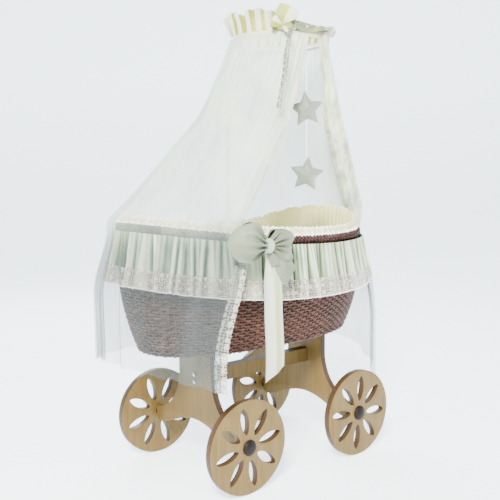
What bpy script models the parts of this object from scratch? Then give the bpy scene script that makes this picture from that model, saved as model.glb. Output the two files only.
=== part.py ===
"""Wicker bassinet on a plywood stand with four wheels, a canopy ring on a pole and a tulle veil.

The frame: Z up, X along the basket (-X is the veiled front end), -Y is the side with the bow.
The origin is on the floor, under the middle of the whole object's box.
Shapes are drawn about the stand's own centre line, and one empty carries them into the frame.
"""

import math

import bmesh
import bpy
from mathutils import Matrix, Vector

# ---- Driving dimensions, in metres --------------------------------------------------------
GAP = 0.0003
STAND_CENTRE = Vector((0.0310, 0.0128, 0.0))

WHEEL_RADIUS = 0.140
WHEEL_FACETS = 60
PLY = 0.021
TRACK_X = 0.2335
TRACK_Y = 0.2335
AXLE_Z = WHEEL_RADIUS * math.cos(math.pi / WHEEL_FACETS)
PETALS = 8
PETAL_INNER = 0.038
PETAL_OUTER = 0.122
PETAL_WIDTH = 0.027
WHEEL_TURN = {"front_left": 10.0, "rear_left": -6.0, "front_right": 17.5, "rear_right": 28.0}

BOLT_RADIUS = 0.004
BOLT_TIP_Y = 0.160
FOOT_END_Y = 0.218
CAP_RADIUS = 0.023
CAP_HEIGHT = 0.0117
CAP_WALL = 0.0035

PANEL_TOP_Z = 0.3997
COLUMN_HALF = 0.082
FOOT_CENTRE = (0.196, 0.140)
FOOT_RADIUS = 0.027
ARCH_Z = 0.165
BEAM_Z = (0.274, 0.319)
BEAM_HALF_Y = 0.018
BEAM_BOLT_RADIUS = 0.003
BEAM_BOLT_DEPTH = 0.038
BEAM_BOLT_Z = (0.285, 0.308)
PEG_RADIUS = 0.004

BASKET_X = -0.031
OVAL_POWER = 2.3
BASE_Z = 0.400
BASE_THICK = 0.009
WALL = 0.012
WALL_SHARES = (0.18, 0.40, 0.68)
RIM_LENGTH = 0.424
RIM_WIDTH = 0.240
BRAID_RADIUS = 0.014
BUMPER_THICK = 0.007
MATTRESS_TOP = 0.470
HEM_LENGTH = 0.470
HEM_WIDTH = 0.276
SKIRT_THICK = 0.005

RING_X = 0.120
RING_Z = 1.330
RING_RADIUS = 0.147
RING_WIRE = 0.004
FRILL_TOP_Z = 1.440
POLE_X = 0.125
POLE_Y = 0.283
POLE_RADIUS = 0.006
POLE_FOOT_Z = 0.425
POLE_JOINT_Z = 0.800
POLE_BEND_Z = 1.180

VEIL_THICK = 0.003
VEIL_TOP_RADIUS = 0.1545
VEIL_TOP_Z = 1.340
VEIL_LENGTH = 0.491
VEIL_WIDTH = 0.300
VEIL_RIM_LENGTH = 0.448
VEIL_RIM_WIDTH = 0.264
VEIL_SPLITS = (0.0, 0.38, 0.80, 1.0)
POLE_SHARE = 0.68

STAR_X = 0.097
STAR_RADIUS = 0.056
STAR_HALF_THICK = 0.016
STAR_Z = (1.110, 0.912)
STRING_RADIUS = 0.0012
STAR_FACING = math.radians(-40.0)

BOW_Y = -0.322


# ---- Materials and objects ----------------------------------------------------------------
def clear_scene():
    for item in list(bpy.data.objects):
        bpy.data.objects.remove(item, do_unlink=True)


def make_material(name, colour, roughness, metallic=0.0):
    made = bpy.data.materials.new(name)
    made.use_nodes = True
    shader = made.node_tree.nodes["Principled BSDF"]
    shader.inputs["Base Color"].default_value = (*colour, 1.0)
    shader.inputs["Roughness"].default_value = roughness
    shader.inputs["Metallic"].default_value = metallic
    made.diffuse_color = (*colour, 1.0)
    return made


def link(name, data, look, place=(0.0, 0.0, 0.0)):
    made = bpy.data.objects.new(name, data)
    bpy.context.scene.collection.objects.link(made)
    made.parent = FRAME
    made.location = place
    if look is not None:
        data.materials.append(look)
    return made


def mesh_object(name, bm, look, place=(0.0, 0.0, 0.0)):
    bmesh.ops.recalc_face_normals(bm, faces=bm.faces)
    data = bpy.data.meshes.new(name)
    bm.to_mesh(data)
    bm.free()
    data.shade_smooth()
    data.set_sharp_from_angle(angle=math.radians(35.0))
    return link(name, data, look, place)


def cut(target, cutter):
    cutter.hide_render = True
    cutter.display_type = "WIRE"
    step = target.modifiers.new("cut_" + cutter.name, "BOOLEAN")
    step.operation = "DIFFERENCE"
    step.solver = "EXACT"
    step.object = cutter


# ---- Shape helpers ------------------------------------------------------------------------
def mix(low, high, share):
    return low + (high - low) * share


def curve_value(keys, at):
    """Smooth interpolation through (place, value) keys, flat beyond the ends."""
    if at <= keys[0][0]:
        return keys[0][1]
    for (x0, y0), (x1, y1) in zip(keys, keys[1:]):
        if at <= x1:
            share = (at - x0) / (x1 - x0)
            return mix(y0, y1, share * share * (3.0 - 2.0 * share))
    return keys[-1][1]


def oval_point(half_x, half_y, angle, power=OVAL_POWER):
    """Point of a superellipse about the basket's centre."""
    c = math.cos(angle)
    s = math.sin(angle)
    x = half_x * math.copysign(abs(c) ** (2.0 / power), c)
    y = half_y * math.copysign(abs(s) ** (2.0 / power), s)
    return Vector((BASKET_X + x, y, 0.0))


def oval_loop(half_x, half_y, height, count=40):
    """Loop of points whose height is a function of the point."""
    loop = []
    for k in range(count):
        point = oval_point(half_x, half_y, math.tau * k / count)
        point.z = height(point)
        loop.append(point)
    return loop


def loft(loops, wrap):
    """Closed body through loops of equal length: a hollow ring when wrapped, capped otherwise."""
    bm = bmesh.new()
    rows = [[bm.verts.new(point) for point in loop] for loop in loops]
    pairs = list(zip(rows, rows[1:]))
    if wrap:
        pairs.append((rows[-1], rows[0]))
    for low, high in pairs:
        for k in range(len(low)):
            after = (k + 1) % len(low)
            bm.faces.new((low[k], low[after], high[after], high[k]))
    if not wrap:
        bm.faces.new(rows[0])
        bm.faces.new(rows[-1])
    return bm


def turned(profile, count=24):
    """Body of revolution about +Z; profile is (radius, height) from one end of the axis to the other."""
    bm = bmesh.new()
    points = [bm.verts.new((radius, 0.0, height)) for radius, height in profile]
    edges = [bm.edges.new(pair) for pair in zip(points, points[1:])]
    if profile[0][0] > 0.0:
        edges.append(bm.edges.new((points[-1], points[0])))
    bmesh.ops.spin(bm, geom=points + edges, cent=(0, 0, 0), axis=(0, 0, 1),
                   angle=math.tau, steps=count, use_merge=True)
    bmesh.ops.remove_doubles(bm, verts=bm.verts, dist=0.00001)
    return bm


def along_y(bm, side):
    """Turn a shape made along +Z to point along +Y or -Y."""
    turn = Matrix.Rotation(math.radians(-90.0 * side), 4, "X")
    bmesh.ops.transform(bm, matrix=turn, verts=bm.verts)
    return bm


def along_x(bm, side):
    turn = Matrix.Rotation(math.radians(90.0 * side), 4, "Y")
    bmesh.ops.transform(bm, matrix=turn, verts=bm.verts)
    return bm


def rod(radius, low, high):
    return [(0.0, low), (radius, low), (radius, high), (0.0, high)]


def prism(outline, depth):
    """Outline of (u, v) points in the XZ plane, extruded both ways along Y."""
    bm = bmesh.new()
    loops = []
    for y in (-depth / 2.0, depth / 2.0):
        loops.append([bm.verts.new((u, y, v)) for u, v in outline])
    for k in range(len(outline)):
        after = (k + 1) % len(outline)
        bm.faces.new((loops[0][k], loops[0][after], loops[1][after], loops[1][k]))
    bm.faces.new(loops[0])
    bm.faces.new(loops[1])
    return bm


def join(shapes):
    """One bmesh out of several."""
    whole = bmesh.new()
    for shape in shapes:
        data = bpy.data.meshes.new("part")
        shape.to_mesh(data)
        shape.free()
        whole.from_mesh(data)
        bpy.data.meshes.remove(data)
    return whole


def moved(bm, place):
    bmesh.ops.translate(bm, verts=bm.verts, vec=place)
    return bm


def bezier(p0, p1, p2, p3, count):
    """Points of a cubic curve, without its first point."""
    points = []
    for k in range(1, count + 1):
        t = k / count
        u = 1.0 - t
        weights = (u * u * u, 3 * u * u * t, 3 * u * t * t, t * t * t)
        points.append(tuple(sum(w * p[i] for w, p in zip(weights, (p0, p1, p2, p3))) for i in (0, 1)))
    return points


def cushion(half, powers=(2.6, 2.6), count=20, levels=3):
    """Soft block: rounded outline, rounded edge, about its own centre."""
    plan, edge = powers
    loops = []
    for k in range(-levels, levels + 1):
        lift = math.sin(math.pi / 2.0 * k / levels) * 0.985
        size = (1.0 - abs(lift) ** edge) ** (1.0 / edge)
        loop = []
        for j in range(count):
            angle = math.tau * j / count
            c = math.cos(angle)
            s = math.sin(angle)
            x = half[0] * size * math.copysign(abs(c) ** (2.0 / plan), c)
            y = half[1] * size * math.copysign(abs(s) ** (2.0 / plan), s)
            loop.append(Vector((x, y, half[2] * lift)))
        loops.append(loop)
    return loft(loops, False)


def ribbon(path, across, width, thick):
    """Flat strip of even width along a path, as a closed body."""
    side = Vector(across).normalized() * (width / 2.0)
    bm = bmesh.new()
    rows = []
    for k, point in enumerate(path):
        here = Vector(point)
        ahead = Vector(path[min(k + 1, len(path) - 1)]) - Vector(path[max(k - 1, 0)])
        out = ahead.cross(side).normalized() * (thick / 2.0)
        corners = (here - side - out, here + side - out, here + side + out, here - side + out)
        rows.append([bm.verts.new(corner) for corner in corners])
    for low, high in zip(rows, rows[1:]):
        for k in range(4):
            after = (k + 1) % 4
            bm.faces.new((low[k], low[after], high[after], high[k]))
    bm.faces.new(rows[0])
    bm.faces.new(rows[-1])
    return bm


# ---- Stand --------------------------------------------------------------------------------
def panel_outline():
    """Half-arch with two rounded feet, as (y, z) points all the way round."""
    fy, fz = FOOT_CENTRE
    flat = math.degrees(math.acos((FOOT_END_Y - fy) / FOOT_RADIUS))
    half = [(COLUMN_HALF, PANEL_TOP_Z), (COLUMN_HALF, 0.305)]
    turn = math.radians(105)
    shoulder = (fy + FOOT_RADIUS * math.cos(turn), fz + FOOT_RADIUS * math.sin(turn))
    half += bezier(half[-1], (0.086, 0.235), (0.130, 0.186), shoulder, 9)
    for degrees in (70.0, flat, -flat, -70.0, -105.0):
        turn = math.radians(degrees)
        half.append((fy + FOOT_RADIUS * math.cos(turn), fz + FOOT_RADIUS * math.sin(turn)))
    half += bezier(half[-1], (0.155, 0.112), (0.080, ARCH_Z), (0.0, ARCH_Z), 9)
    mirrored = [(-y, z) for y, z in reversed(half[:-1])]
    return half + mirrored


def make_panel(name, x, look):
    """Plywood panel across the stand, drilled for its axle bolts, beam bolts and pegs."""
    bm = prism(panel_outline(), PLY)
    bmesh.ops.rotate(bm, verts=bm.verts, matrix=Matrix.Rotation(math.radians(90.0), 3, "Z"))
    panel = mesh_object(name, bm, look, (x, 0.0, 0.0))
    holes = []
    for side in (-1, 1):
        axle = turned(rod(BOLT_RADIUS + GAP, BOLT_TIP_Y - GAP, FOOT_END_Y + 0.01), 16)
        holes.append(moved(along_y(axle, side), (0.0, 0.0, AXLE_Z)))
    holes.append(turned(rod(PEG_RADIUS + GAP, PANEL_TOP_Z - 0.015, PANEL_TOP_Z + 0.01), 16))
    for z in BEAM_BOLT_Z:
        bolt = turned(rod(BEAM_BOLT_RADIUS + GAP, -0.02, 0.02), 16)
        holes.append(moved(along_x(bolt, 1), (0.0, 0.0, z)))
    cut(panel, mesh_object(name + "_drill", join(holes), None, (x, 0.0, 0.0)))


def make_beam(look):
    """Spreader between the panels, drilled at both ends."""
    half = TRACK_X - PLY / 2.0 - GAP
    outline = [(-half, BEAM_Z[0]), (half, BEAM_Z[0]), (half, BEAM_Z[1]), (-half, BEAM_Z[1])]
    beam = mesh_object("spreader_beam", prism(outline, 2.0 * BEAM_HALF_Y), look)
    holes = []
    for side in (-1, 1):
        for z in BEAM_BOLT_Z:
            bolt = turned(rod(BEAM_BOLT_RADIUS + GAP, half - BEAM_BOLT_DEPTH, half + 0.01), 16)
            holes.append(moved(along_x(bolt, side), (0.0, 0.0, z)))
    cut(beam, mesh_object("beam_drill", join(holes), None))


def make_beam_bolts(look):
    head = TRACK_X + PLY / 2.0 + GAP
    tip = TRACK_X - PLY / 2.0 - BEAM_BOLT_DEPTH
    profile = [(0.0, tip), (BEAM_BOLT_RADIUS, tip), (BEAM_BOLT_RADIUS, head), (0.0065, head),
               (0.0065, head + 0.0028), (0.0045, head + 0.0042), (0.0, head + 0.0042)]
    for end, side in (("front", -1), ("rear", 1)):
        for level, z in zip(("low", "high"), BEAM_BOLT_Z):
            bolt = along_x(turned(profile, 16), side)
            mesh_object("beam_bolt_" + end + "_" + level, bolt, look, (0.0, 0.0, z))


def make_pegs(look):
    for end, x in (("front", -TRACK_X), ("rear", TRACK_X)):
        peg = turned(rod(PEG_RADIUS, PANEL_TOP_Z - 0.0147, BASE_Z + 0.0065), 16)
        mesh_object("locating_peg_" + end, peg, look, (x, 0.0, 0.0))


def petal_outline(turn):
    """Pointed oval slot along a spoke line, in the wheel's own plane."""
    steps = 7
    edge = []
    for k in range(steps + 1):
        share = k / steps
        radius = mix(PETAL_INNER, PETAL_OUTER, share)
        half = PETAL_WIDTH / 2.0 * math.sin(math.pi * share) ** 0.8
        edge.append((radius, half))
    points = edge + [(radius, -half) for radius, half in reversed(edge[1:-1])]
    c = math.cos(turn)
    s = math.sin(turn)
    return [(c * r - s * w, s * r + c * w) for r, w in points]


def make_wheel(corner, x, side, look):
    """Wheel of flat facets, one of them level under the axle, with petal slots and a bore."""
    facet = math.tau / WHEEL_FACETS
    rim = [(WHEEL_RADIUS * math.cos(facet * (k + 0.5)), WHEEL_RADIUS * math.sin(facet * (k + 0.5)))
           for k in range(WHEEL_FACETS)]
    place = (x, side * TRACK_Y, AXLE_Z)
    wheel = mesh_object("wheel_" + corner, prism(rim, PLY), look, place)
    start = math.radians(WHEEL_TURN[corner])
    slots = [prism(petal_outline(start + math.tau * k / PETALS), 2.0 * PLY) for k in range(PETALS)]
    slots.append(along_y(turned(rod(BOLT_RADIUS + GAP, -PLY, PLY), 16), 1))
    cut(wheel, mesh_object("slots_" + corner, join(slots), None, place))


def make_axle(corner, x, side, metal, dark):
    """Axle bolt, the spacer behind the wheel, and the hollow cap over the bolt's head."""
    outer = TRACK_Y + PLY / 2.0 + GAP
    bolt = [(0.0, BOLT_TIP_Y), (BOLT_RADIUS, BOLT_TIP_Y), (BOLT_RADIUS, outer),
            (0.008, outer), (0.008, outer + 0.004), (0.006, outer + 0.005), (0.0, outer + 0.005)]
    mesh_object("axle_bolt_" + corner, along_y(turned(bolt, 12), side), metal, (x, 0.0, AXLE_Z))
    inner = TRACK_Y - PLY / 2.0 - GAP
    spacer = [(BOLT_RADIUS + GAP, FOOT_END_Y + GAP), (0.0115, FOOT_END_Y + GAP),
              (0.0115, inner), (BOLT_RADIUS + GAP, inner)]
    mesh_object("spacer_" + corner, along_y(turned(spacer, 16), side), dark, (x, 0.0, AXLE_Z))
    crown = outer + CAP_HEIGHT
    cap = [(CAP_RADIUS - CAP_WALL, outer), (CAP_RADIUS, outer), (CAP_RADIUS, outer + 0.003)]
    for k in range(1, 4):
        turn = math.pi / 2.0 * k / 4
        cap.append((CAP_RADIUS * math.cos(turn), mix(outer + 0.003, crown, math.sin(turn))))
    cap += [(0.0, crown), (0.0, crown - CAP_WALL), (0.012, crown - CAP_WALL - 0.0012),
            (CAP_RADIUS - CAP_WALL, outer + 0.0035)]
    shell = revolve_shell(cap, 20)
    mesh_object("hub_cap_" + corner, along_y(shell, side), dark, (x, 0.0, AXLE_Z))


def revolve_shell(profile, count):
    """Revolve a closed profile that touches the axis along one stretch, as a dome with a hollow does."""
    bm = bmesh.new()
    rings = []
    for radius, height in profile:
        if radius == 0.0:
            rings.append([bm.verts.new((0.0, 0.0, height))])
            continue
        rings.append([bm.verts.new((radius * math.cos(math.tau * k / count),
                                    radius * math.sin(math.tau * k / count), height))
                      for k in range(count)])
    for low, high in zip(rings, rings[1:] + rings[:1]):
        bridge(bm, low, high, count)
    return bm


def bridge(bm, low, high, count):
    """Faces between two rings, either of which may be a single point on the axis."""
    if len(low) == 1 and len(high) == 1:
        return
    for k in range(count):
        after = (k + 1) % count
        if len(low) == 1:
            bm.faces.new((low[0], high[after], high[k]))
        elif len(high) == 1:
            bm.faces.new((low[k], low[after], high[0]))
        else:
            bm.faces.new((low[k], low[after], high[after], high[k]))


def make_stand(wood, edge_wood, metal, dark):
    make_panel("front_panel", -TRACK_X, wood)
    make_panel("rear_panel", TRACK_X, wood)
    make_beam(wood)
    make_beam_bolts(metal)
    make_pegs(edge_wood)
    for end, x in (("front", -TRACK_X), ("rear", TRACK_X)):
        for hand, side in (("left", -1), ("right", 1)):
            corner = end + "_" + hand
            make_wheel(corner, x, side, wood)
            make_axle(corner, x, side, metal, dark)


# ---- Basket -------------------------------------------------------------------------------
def rim_height(point):
    """Saddle line of the rim: both ends rise, the front end more."""
    reach = (point.x - BASKET_X) / RIM_LENGTH
    return 0.720 - 0.057 * point.x + 0.024 * reach * reach


def hem_height(point):
    reach = (point.x - BASKET_X) / RIM_LENGTH
    return 0.553 - 0.046 * point.x + 0.031 * reach * reach


def wall_size(share):
    """Half length and half width of the wicker's outer face, from base (0) to rim (1)."""
    u = 1.0 - share
    half_x = u * u * 0.386 + 2.0 * u * share * 0.456 + share * share * 0.430
    half_y = u * u * 0.190 + 2.0 * u * share * 0.262 + share * share * 0.246
    return half_x, half_y


def wall_loop(share, inset, top_drop):
    """Loop on the wicker wall, moved inwards by inset, whose full height ends below the rim line."""
    half_x, half_y = wall_size(share)

    def height(point):
        return mix(BASE_Z, rim_height(point) - top_drop, share)

    return oval_loop(half_x - inset, half_y - inset, height)


def make_base(look):
    """Base board with holes for the locating pegs."""
    low = oval_loop(0.372, 0.176, lambda point: BASE_Z)
    high = oval_loop(0.372, 0.176, lambda point: BASE_Z + BASE_THICK)
    board = mesh_object("base_board", loft([low, high], False), look)
    holes = []
    for x in (-TRACK_X, TRACK_X):
        hole = turned(rod(PEG_RADIUS + GAP, BASE_Z - 0.01, BASE_Z + BASE_THICK + 0.01), 16)
        holes.append(moved(hole, (x, 0.0, 0.0)))
    cut(board, mesh_object("peg_drill", join(holes), None))


def make_wicker(look, dark):
    """Woven wall, open at the top, and the thick braid along its rim."""
    shares = [0.0, *WALL_SHARES, 1.0]
    drop = BRAID_RADIUS + 0.0006
    outer = [wall_loop(share, 0.0, drop) for share in shares]
    inner = [wall_loop(share, WALL, drop) for share in reversed(shares)]
    mesh_object("basket_shell", loft(outer + inner, True), look)
    loops = []
    for k in range(6):
        turn = math.tau * k / 6
        out = BRAID_RADIUS * math.cos(turn)
        lift = BRAID_RADIUS * math.sin(turn)
        loops.append(oval_loop(RIM_LENGTH + out, RIM_WIDTH + out, lambda p, up=lift: rim_height(p) + up))
    mesh_object("rim_braid", loft(loops, True), dark)


def bumper_height(point):
    """Height of the padded edge above the rim: low along the sides, tall at the rear end."""
    along = curve_value([(0.10, 0.0), (0.36, 1.0)], point.x)
    across = curve_value([(-0.20, 0.15), (0.02, 1.0)], point.y)
    return 0.030 + 0.048 * along * across


def make_lining(cloth, lace):
    """Quilted lining against the wall, and the padded edge that stands above the rim."""
    shares = [0.045, *WALL_SHARES]
    outer = [wall_loop(share, WALL + 0.0015, 0.0146) for share in shares]
    inner = [wall_loop(share, WALL + 0.0065, 0.0146) for share in reversed(shares)]
    top_out = oval_loop(0.4078, 0.2238, lambda p: rim_height(p) - 0.008)
    top_in = oval_loop(0.4023, 0.2183, lambda p: rim_height(p) - 0.008)
    mesh_object("lining", loft(outer + [top_out, top_in] + inner, True), cloth)
    loops = []
    for share in (0.0, 0.5, 1.0):
        lean = 0.006 * share
        loops.append(oval_loop(0.4078 + lean, 0.2238 + lean, bumper_level(share)))
    for share in (1.0, 0.5, 0.0):
        inset = BUMPER_THICK - 0.006 * share
        loops.append(oval_loop(0.4078 - inset, 0.2238 - inset, bumper_level(share)))
    mesh_object("lining_bumper", loft(loops, True), lace)


def bumper_level(share):
    def height(point):
        low = rim_height(point) - 0.0075
        return mix(low, rim_height(point) + bumper_height(point), share)

    return height


def make_bedding(white, cream):
    """Mattress on the base, pillow at the front end, duvet heaped towards the rear end."""
    low = BASE_Z + BASE_THICK + 0.001
    sizes = [(0.360, 0.164, low), (0.368, 0.172, low + 0.008), (0.374, 0.180, low + 0.030),
             (0.374, 0.180, MATTRESS_TOP - 0.010), (0.364, 0.170, MATTRESS_TOP)]
    loops = [oval_loop(a, b, lambda p, level=z: level, 32) for a, b, z in sizes]
    mesh_object("mattress", loft(loops, False), white)
    pillow = moved(cushion((0.095, 0.115, 0.026), (3.4, 2.2)), (-0.275, 0.0, MATTRESS_TOP + 0.027))
    mesh_object("pillow", pillow, cream)
    levels = [(0.90, 0.0), (1.0, 0.12), (1.02, 0.45), (0.97, 0.75), (0.80, 0.93), (0.45, 1.0)]
    duvet = [duvet_loop(size, share) for size, share in levels]
    mesh_object("duvet", loft(duvet, False), cream)


def duvet_loop(size, share, count=32):
    loop = []
    for k in range(count):
        point = oval_point(0.205 * size, 0.162 * size, math.tau * k / count, 2.6)
        point.x += 0.112 - BASKET_X
        top = curve_value([(-0.08, 0.620), (0.24, 0.742)], point.x)
        point.z = mix(MATTRESS_TOP + 0.0006, top, share)
        loop.append(point)
    return loop


def make_skirt(look):
    """Gathered skirt from just under the braid, flaring to its hem."""
    loops = []
    shares = [0.0, 0.5, 1.0]
    for thick, order in ((SKIRT_THICK, shares), (0.0, list(reversed(shares)))):
        for share in order:
            half_x = mix(0.4395, HEM_LENGTH, share) + thick
            half_y = mix(0.2555, HEM_WIDTH, share) + thick
            loops.append(oval_loop(half_x, half_y, skirt_level(share)))
    mesh_object("skirt", loft(loops, True), look)


def skirt_level(share):
    def height(point):
        return mix(rim_height(point) - 0.020, hem_height(point), share)

    return height


def make_bow(look):
    """Side bow: knot, two puffed loops and two tails of wide ribbon."""
    mesh_object("bow_knot", moved(cushion((0.017, 0.016, 0.020)), (-0.226, BOW_Y, 0.722)), look)
    for name, x, z, half, tilt in (("bow_loop_left", -0.299, 0.738, 0.053, -8.0),
                                   ("bow_loop_right", -0.150, 0.722, 0.056, 10.0)):
        puff = cushion((half, 0.022, 0.048))
        bmesh.ops.rotate(puff, verts=puff.verts, matrix=Matrix.Rotation(math.radians(tilt), 3, "Y"))
        mesh_object(name, moved(puff, (x, BOW_Y, z)), look)
    long_tail = [(-0.208, -0.310, 0.671), (-0.204, -0.308, 0.620), (-0.198, -0.308, 0.540),
                 (-0.196, -0.312, 0.450), (-0.199, -0.314, 0.345)]
    mesh_object("bow_tail_long", ribbon(long_tail, (1, 0, 0), 0.056, 0.003), look)
    short_tail = [(-0.180, -0.322, 0.652), (-0.158, -0.323, 0.630), (-0.130, -0.320, 0.600)]
    mesh_object("bow_tail_short", ribbon(short_tail, (0.75, 0.0, 0.62), 0.052, 0.003), look)


# ---- Canopy -------------------------------------------------------------------------------
def make_pole(metal, plastic):
    """Two-part pole in two clamps on the basket's far side, bent over to the ring."""
    lower = turned(rod(POLE_RADIUS, POLE_FOOT_Z, POLE_JOINT_Z - GAP), 16)
    mesh_object("lower_pole", lower, metal, (POLE_X, POLE_Y, 0.0))
    reach = POLE_Y - RING_RADIUS - RING_WIRE - 0.0008
    path = [(POLE_X, POLE_Y, POLE_JOINT_Z), (POLE_X, POLE_Y, 1.0)]
    steps = 12
    for k in range(steps + 1):
        turn = math.pi / 2.0 * k / steps
        x = mix(POLE_X, RING_X, k / steps)
        y = POLE_Y - reach * (1.0 - math.cos(turn))
        path.append((x, y, mix(POLE_BEND_Z, RING_Z, math.sin(turn))))
    make_wire("upper_pole", path, POLE_RADIUS, metal, False)
    inner = POLE_RADIUS + GAP
    sleeve = [(inner, -0.025), (0.0085, -0.025), (0.0085, 0.025), (inner, 0.025)]
    mesh_object("pole_sleeve", turned(sleeve, 16), plastic, (POLE_X, POLE_Y, POLE_JOINT_Z))
    for name, wall_y, z in (("pole_clamp_lower", 0.2065, 0.440), ("pole_clamp_upper", 0.2312, 0.530)):
        make_clamp(name, wall_y, z, plastic)
    profile = [(0.0, 0.2900), (0.002, 0.2900), (0.002, 0.2975), (0.0055, 0.2975),
               (0.0055, 0.3015), (0.0, 0.3015)]
    for name, z in (("clamp_screw_lower", 0.440), ("clamp_screw_upper", 0.530)):
        mesh_object(name, along_y(turned(profile, 16), 1), metal, (POLE_X, 0.0, z))


def make_clamp(name, wall_y, z, look):
    """Block from the wicker wall out to the pole, with the pole's hole and its screw's hole."""
    outline = [(-0.012, -0.010), (0.012, -0.010), (0.012, 0.010), (-0.012, 0.010)]
    outer = 0.2972
    block = prism(outline, outer - wall_y)
    clamp = mesh_object(name, block, look, (POLE_X, (outer + wall_y) / 2.0, z))
    pole_hole = moved(turned(rod(POLE_RADIUS + GAP, -0.03, 0.03), 16), (POLE_X, POLE_Y, z))
    screw_hole = moved(along_y(turned(rod(0.0023, 0.287, 0.31), 16), 1), (POLE_X, 0.0, z))
    cut(clamp, mesh_object(name + "_bore", pole_hole, None))
    cut(clamp, mesh_object(name + "_tap", screw_hole, None))


def make_wire(name, path, radius, look, closed):
    """Round wire along a path, with filled ends unless it closes on itself."""
    data = bpy.data.curves.new(name, "CURVE")
    data.dimensions = "3D"
    data.bevel_depth = radius
    data.bevel_resolution = 2
    data.use_fill_caps = not closed
    spline = data.splines.new("POLY")
    spline.points.add(len(path) - 1)
    for point, place in zip(spline.points, path):
        point.co = (*place, 1.0)
    spline.use_cyclic_u = closed
    return link(name, data, look)


def ring_loop(radius, height, count=36):
    loop = []
    for k in range(count):
        angle = math.tau * k / count
        loop.append(Vector((RING_X + radius * math.cos(angle), radius * math.sin(angle), height)))
    return loop


def make_ring(metal, cloth):
    """Canopy ring and the pleated ruffle that stands above it."""
    loops = []
    for k in range(6):
        turn = math.tau * k / 6
        loops.append(ring_loop(RING_RADIUS + RING_WIRE * math.cos(turn), RING_Z + RING_WIRE * math.sin(turn)))
    mesh_object("canopy_ring", loft(loops, True), metal)
    levels = [(0.1555, 1.3418), (0.1590, 1.380), (0.1700, FRILL_TOP_Z)]
    outer = [ring_loop(radius, z) for radius, z in levels]
    inner = [ring_loop(radius - 0.004, z) for radius, z in reversed(levels)]
    mesh_object("ring_ruffle", loft(outer + inner, True), cloth)


def ring_place(radius, degrees, height):
    turn = math.radians(degrees)
    return Vector((RING_X + radius * math.cos(turn), radius * math.sin(turn), height))


def make_top_bow(look, lace):
    """Small bow on the ruffle, its tails along the ring, and a narrow lace tail that hangs free."""
    parts = [("top_bow_knot", 0.1695, -130.0, 1.352, (0.011, 0.007, 0.012)),
             ("top_bow_loop", 0.1850, -111.0, 1.384, (0.030, 0.008, 0.032))]
    for name, radius, degrees, height, half in parts:
        puff = cushion(half, (2.6, 2.6), 16, 2)
        turn = Matrix.Rotation(math.radians(degrees + 90.0), 3, "Z")
        bmesh.ops.rotate(puff, verts=puff.verts, matrix=turn)
        mesh_object(name, moved(puff, ring_place(radius, degrees, height)), look)
    tails = [ring_place(0.1665, degrees, 1.355) for degrees in range(-122, -28, 8)]
    mesh_object("top_bow_tails", ribbon(tails, (0, 0, 1), 0.018, 0.002), look)
    hang = [(0.000, -0.1700, 1.336), (-0.022, -0.1860, 1.270), (-0.052, -0.2010, 1.190),
            (-0.083, -0.2110, 1.100)]
    mesh_object("lace_tail", ribbon(hang, (0.8, -0.6, 0.0), 0.014, 0.002), lace)


# ---- Veil ---------------------------------------------------------------------------------
def veil_reach(share, height):
    """How far out, from ring (0) to its hanging line (1), the veil is at a height."""
    free = [(0.79, 1.0), (0.825, 0.905), (0.86, 0.82), (0.92, 0.685), (1.00, 0.515), (1.08, 0.335),
            (1.16, 0.215), (VEIL_TOP_Z, 0.0)]
    over_pole = [(1.20, 1.0), (1.26, 0.92), (1.305, 0.78), (1.334, 0.46), (VEIL_TOP_Z, 0.0)]
    near_pole = math.exp(-(((share - POLE_SHARE) / 0.045) ** 2))
    return mix(curve_line(free, height), curve_line(over_pole, height), near_pole)


def curve_line(keys, at):
    """Catmull-Rom interpolation through (place, value) keys, flat beyond the ends."""
    if at <= keys[0][0]:
        return keys[0][1]
    if at >= keys[-1][0]:
        return keys[-1][1]
    for k in range(len(keys) - 1):
        (x0, y0), (x1, y1) = keys[k], keys[k + 1]
        if at <= x1:
            before = keys[max(k - 1, 0)]
            beyond = keys[min(k + 2, len(keys) - 1)]
            span = x1 - x0
            slope0 = (y1 - before[1]) / (x1 - before[0]) * span
            slope1 = (beyond[1] - y0) / (beyond[0] - x0) * span
            t = (at - x0) / span
            return ((2 * t ** 3 - 3 * t * t + 1) * y0 + (t ** 3 - 2 * t * t + t) * slope0
                    + (3 * t * t - 2 * t ** 3) * y1 + (t ** 3 - t * t) * slope1)
    return keys[-1][1]


def veil_foot(share, height):
    """Point that the veil passes: close round the braid, and wider where it falls over the skirt."""
    drop = curve_value([(0.40, 1.0), (0.75, 0.0)], height)
    flare = curve_value([(0.575, 1.0), (0.77, 0.0)], height)
    front_left = math.exp(-((share / 0.14) ** 2))
    rear_left = math.exp(-(((1.0 - share) / 0.18) ** 2))
    angle = math.radians(mix(-118.0, -367.0, share) - drop * (13.0 * front_left + 19.0 * rear_left))
    near_pole = math.exp(-(((share - POLE_SHARE) / 0.06) ** 2))
    wide = mix(VEIL_RIM_WIDTH, VEIL_WIDTH, flare) * (1.0 + front_left * mix(0.115, 0.27, drop))
    point = oval_point(mix(VEIL_RIM_LENGTH, VEIL_LENGTH, flare), wide, angle)
    point.y += mix(0.054, 0.026, flare) * near_pole
    return point


def veil_ring_angle(share):
    """Angle at the ring: radial along the back, drawn together at the opening."""
    foot = veil_foot(share, 1.0)
    angle = math.atan2(foot.y, foot.x - RING_X)
    if angle > 0.0:
        angle -= math.tau
    if share > 0.9 and angle > -math.pi:
        angle -= math.tau
    ahead = math.radians(50.0) * max(0.0, 1.0 - share / 0.35) ** 2
    behind = math.radians(72.0) * max(0.0, (share - 0.65) / 0.35) ** 2
    return angle + ahead - behind


def veil_hem(share):
    keys = [(0.0, 0.343), (0.10, 0.375), (0.25, 0.392), (0.50, 0.356), (0.80, 0.345), (0.92, 0.300),
            (1.0, 0.210)]
    return curve_line(keys, share)


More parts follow.
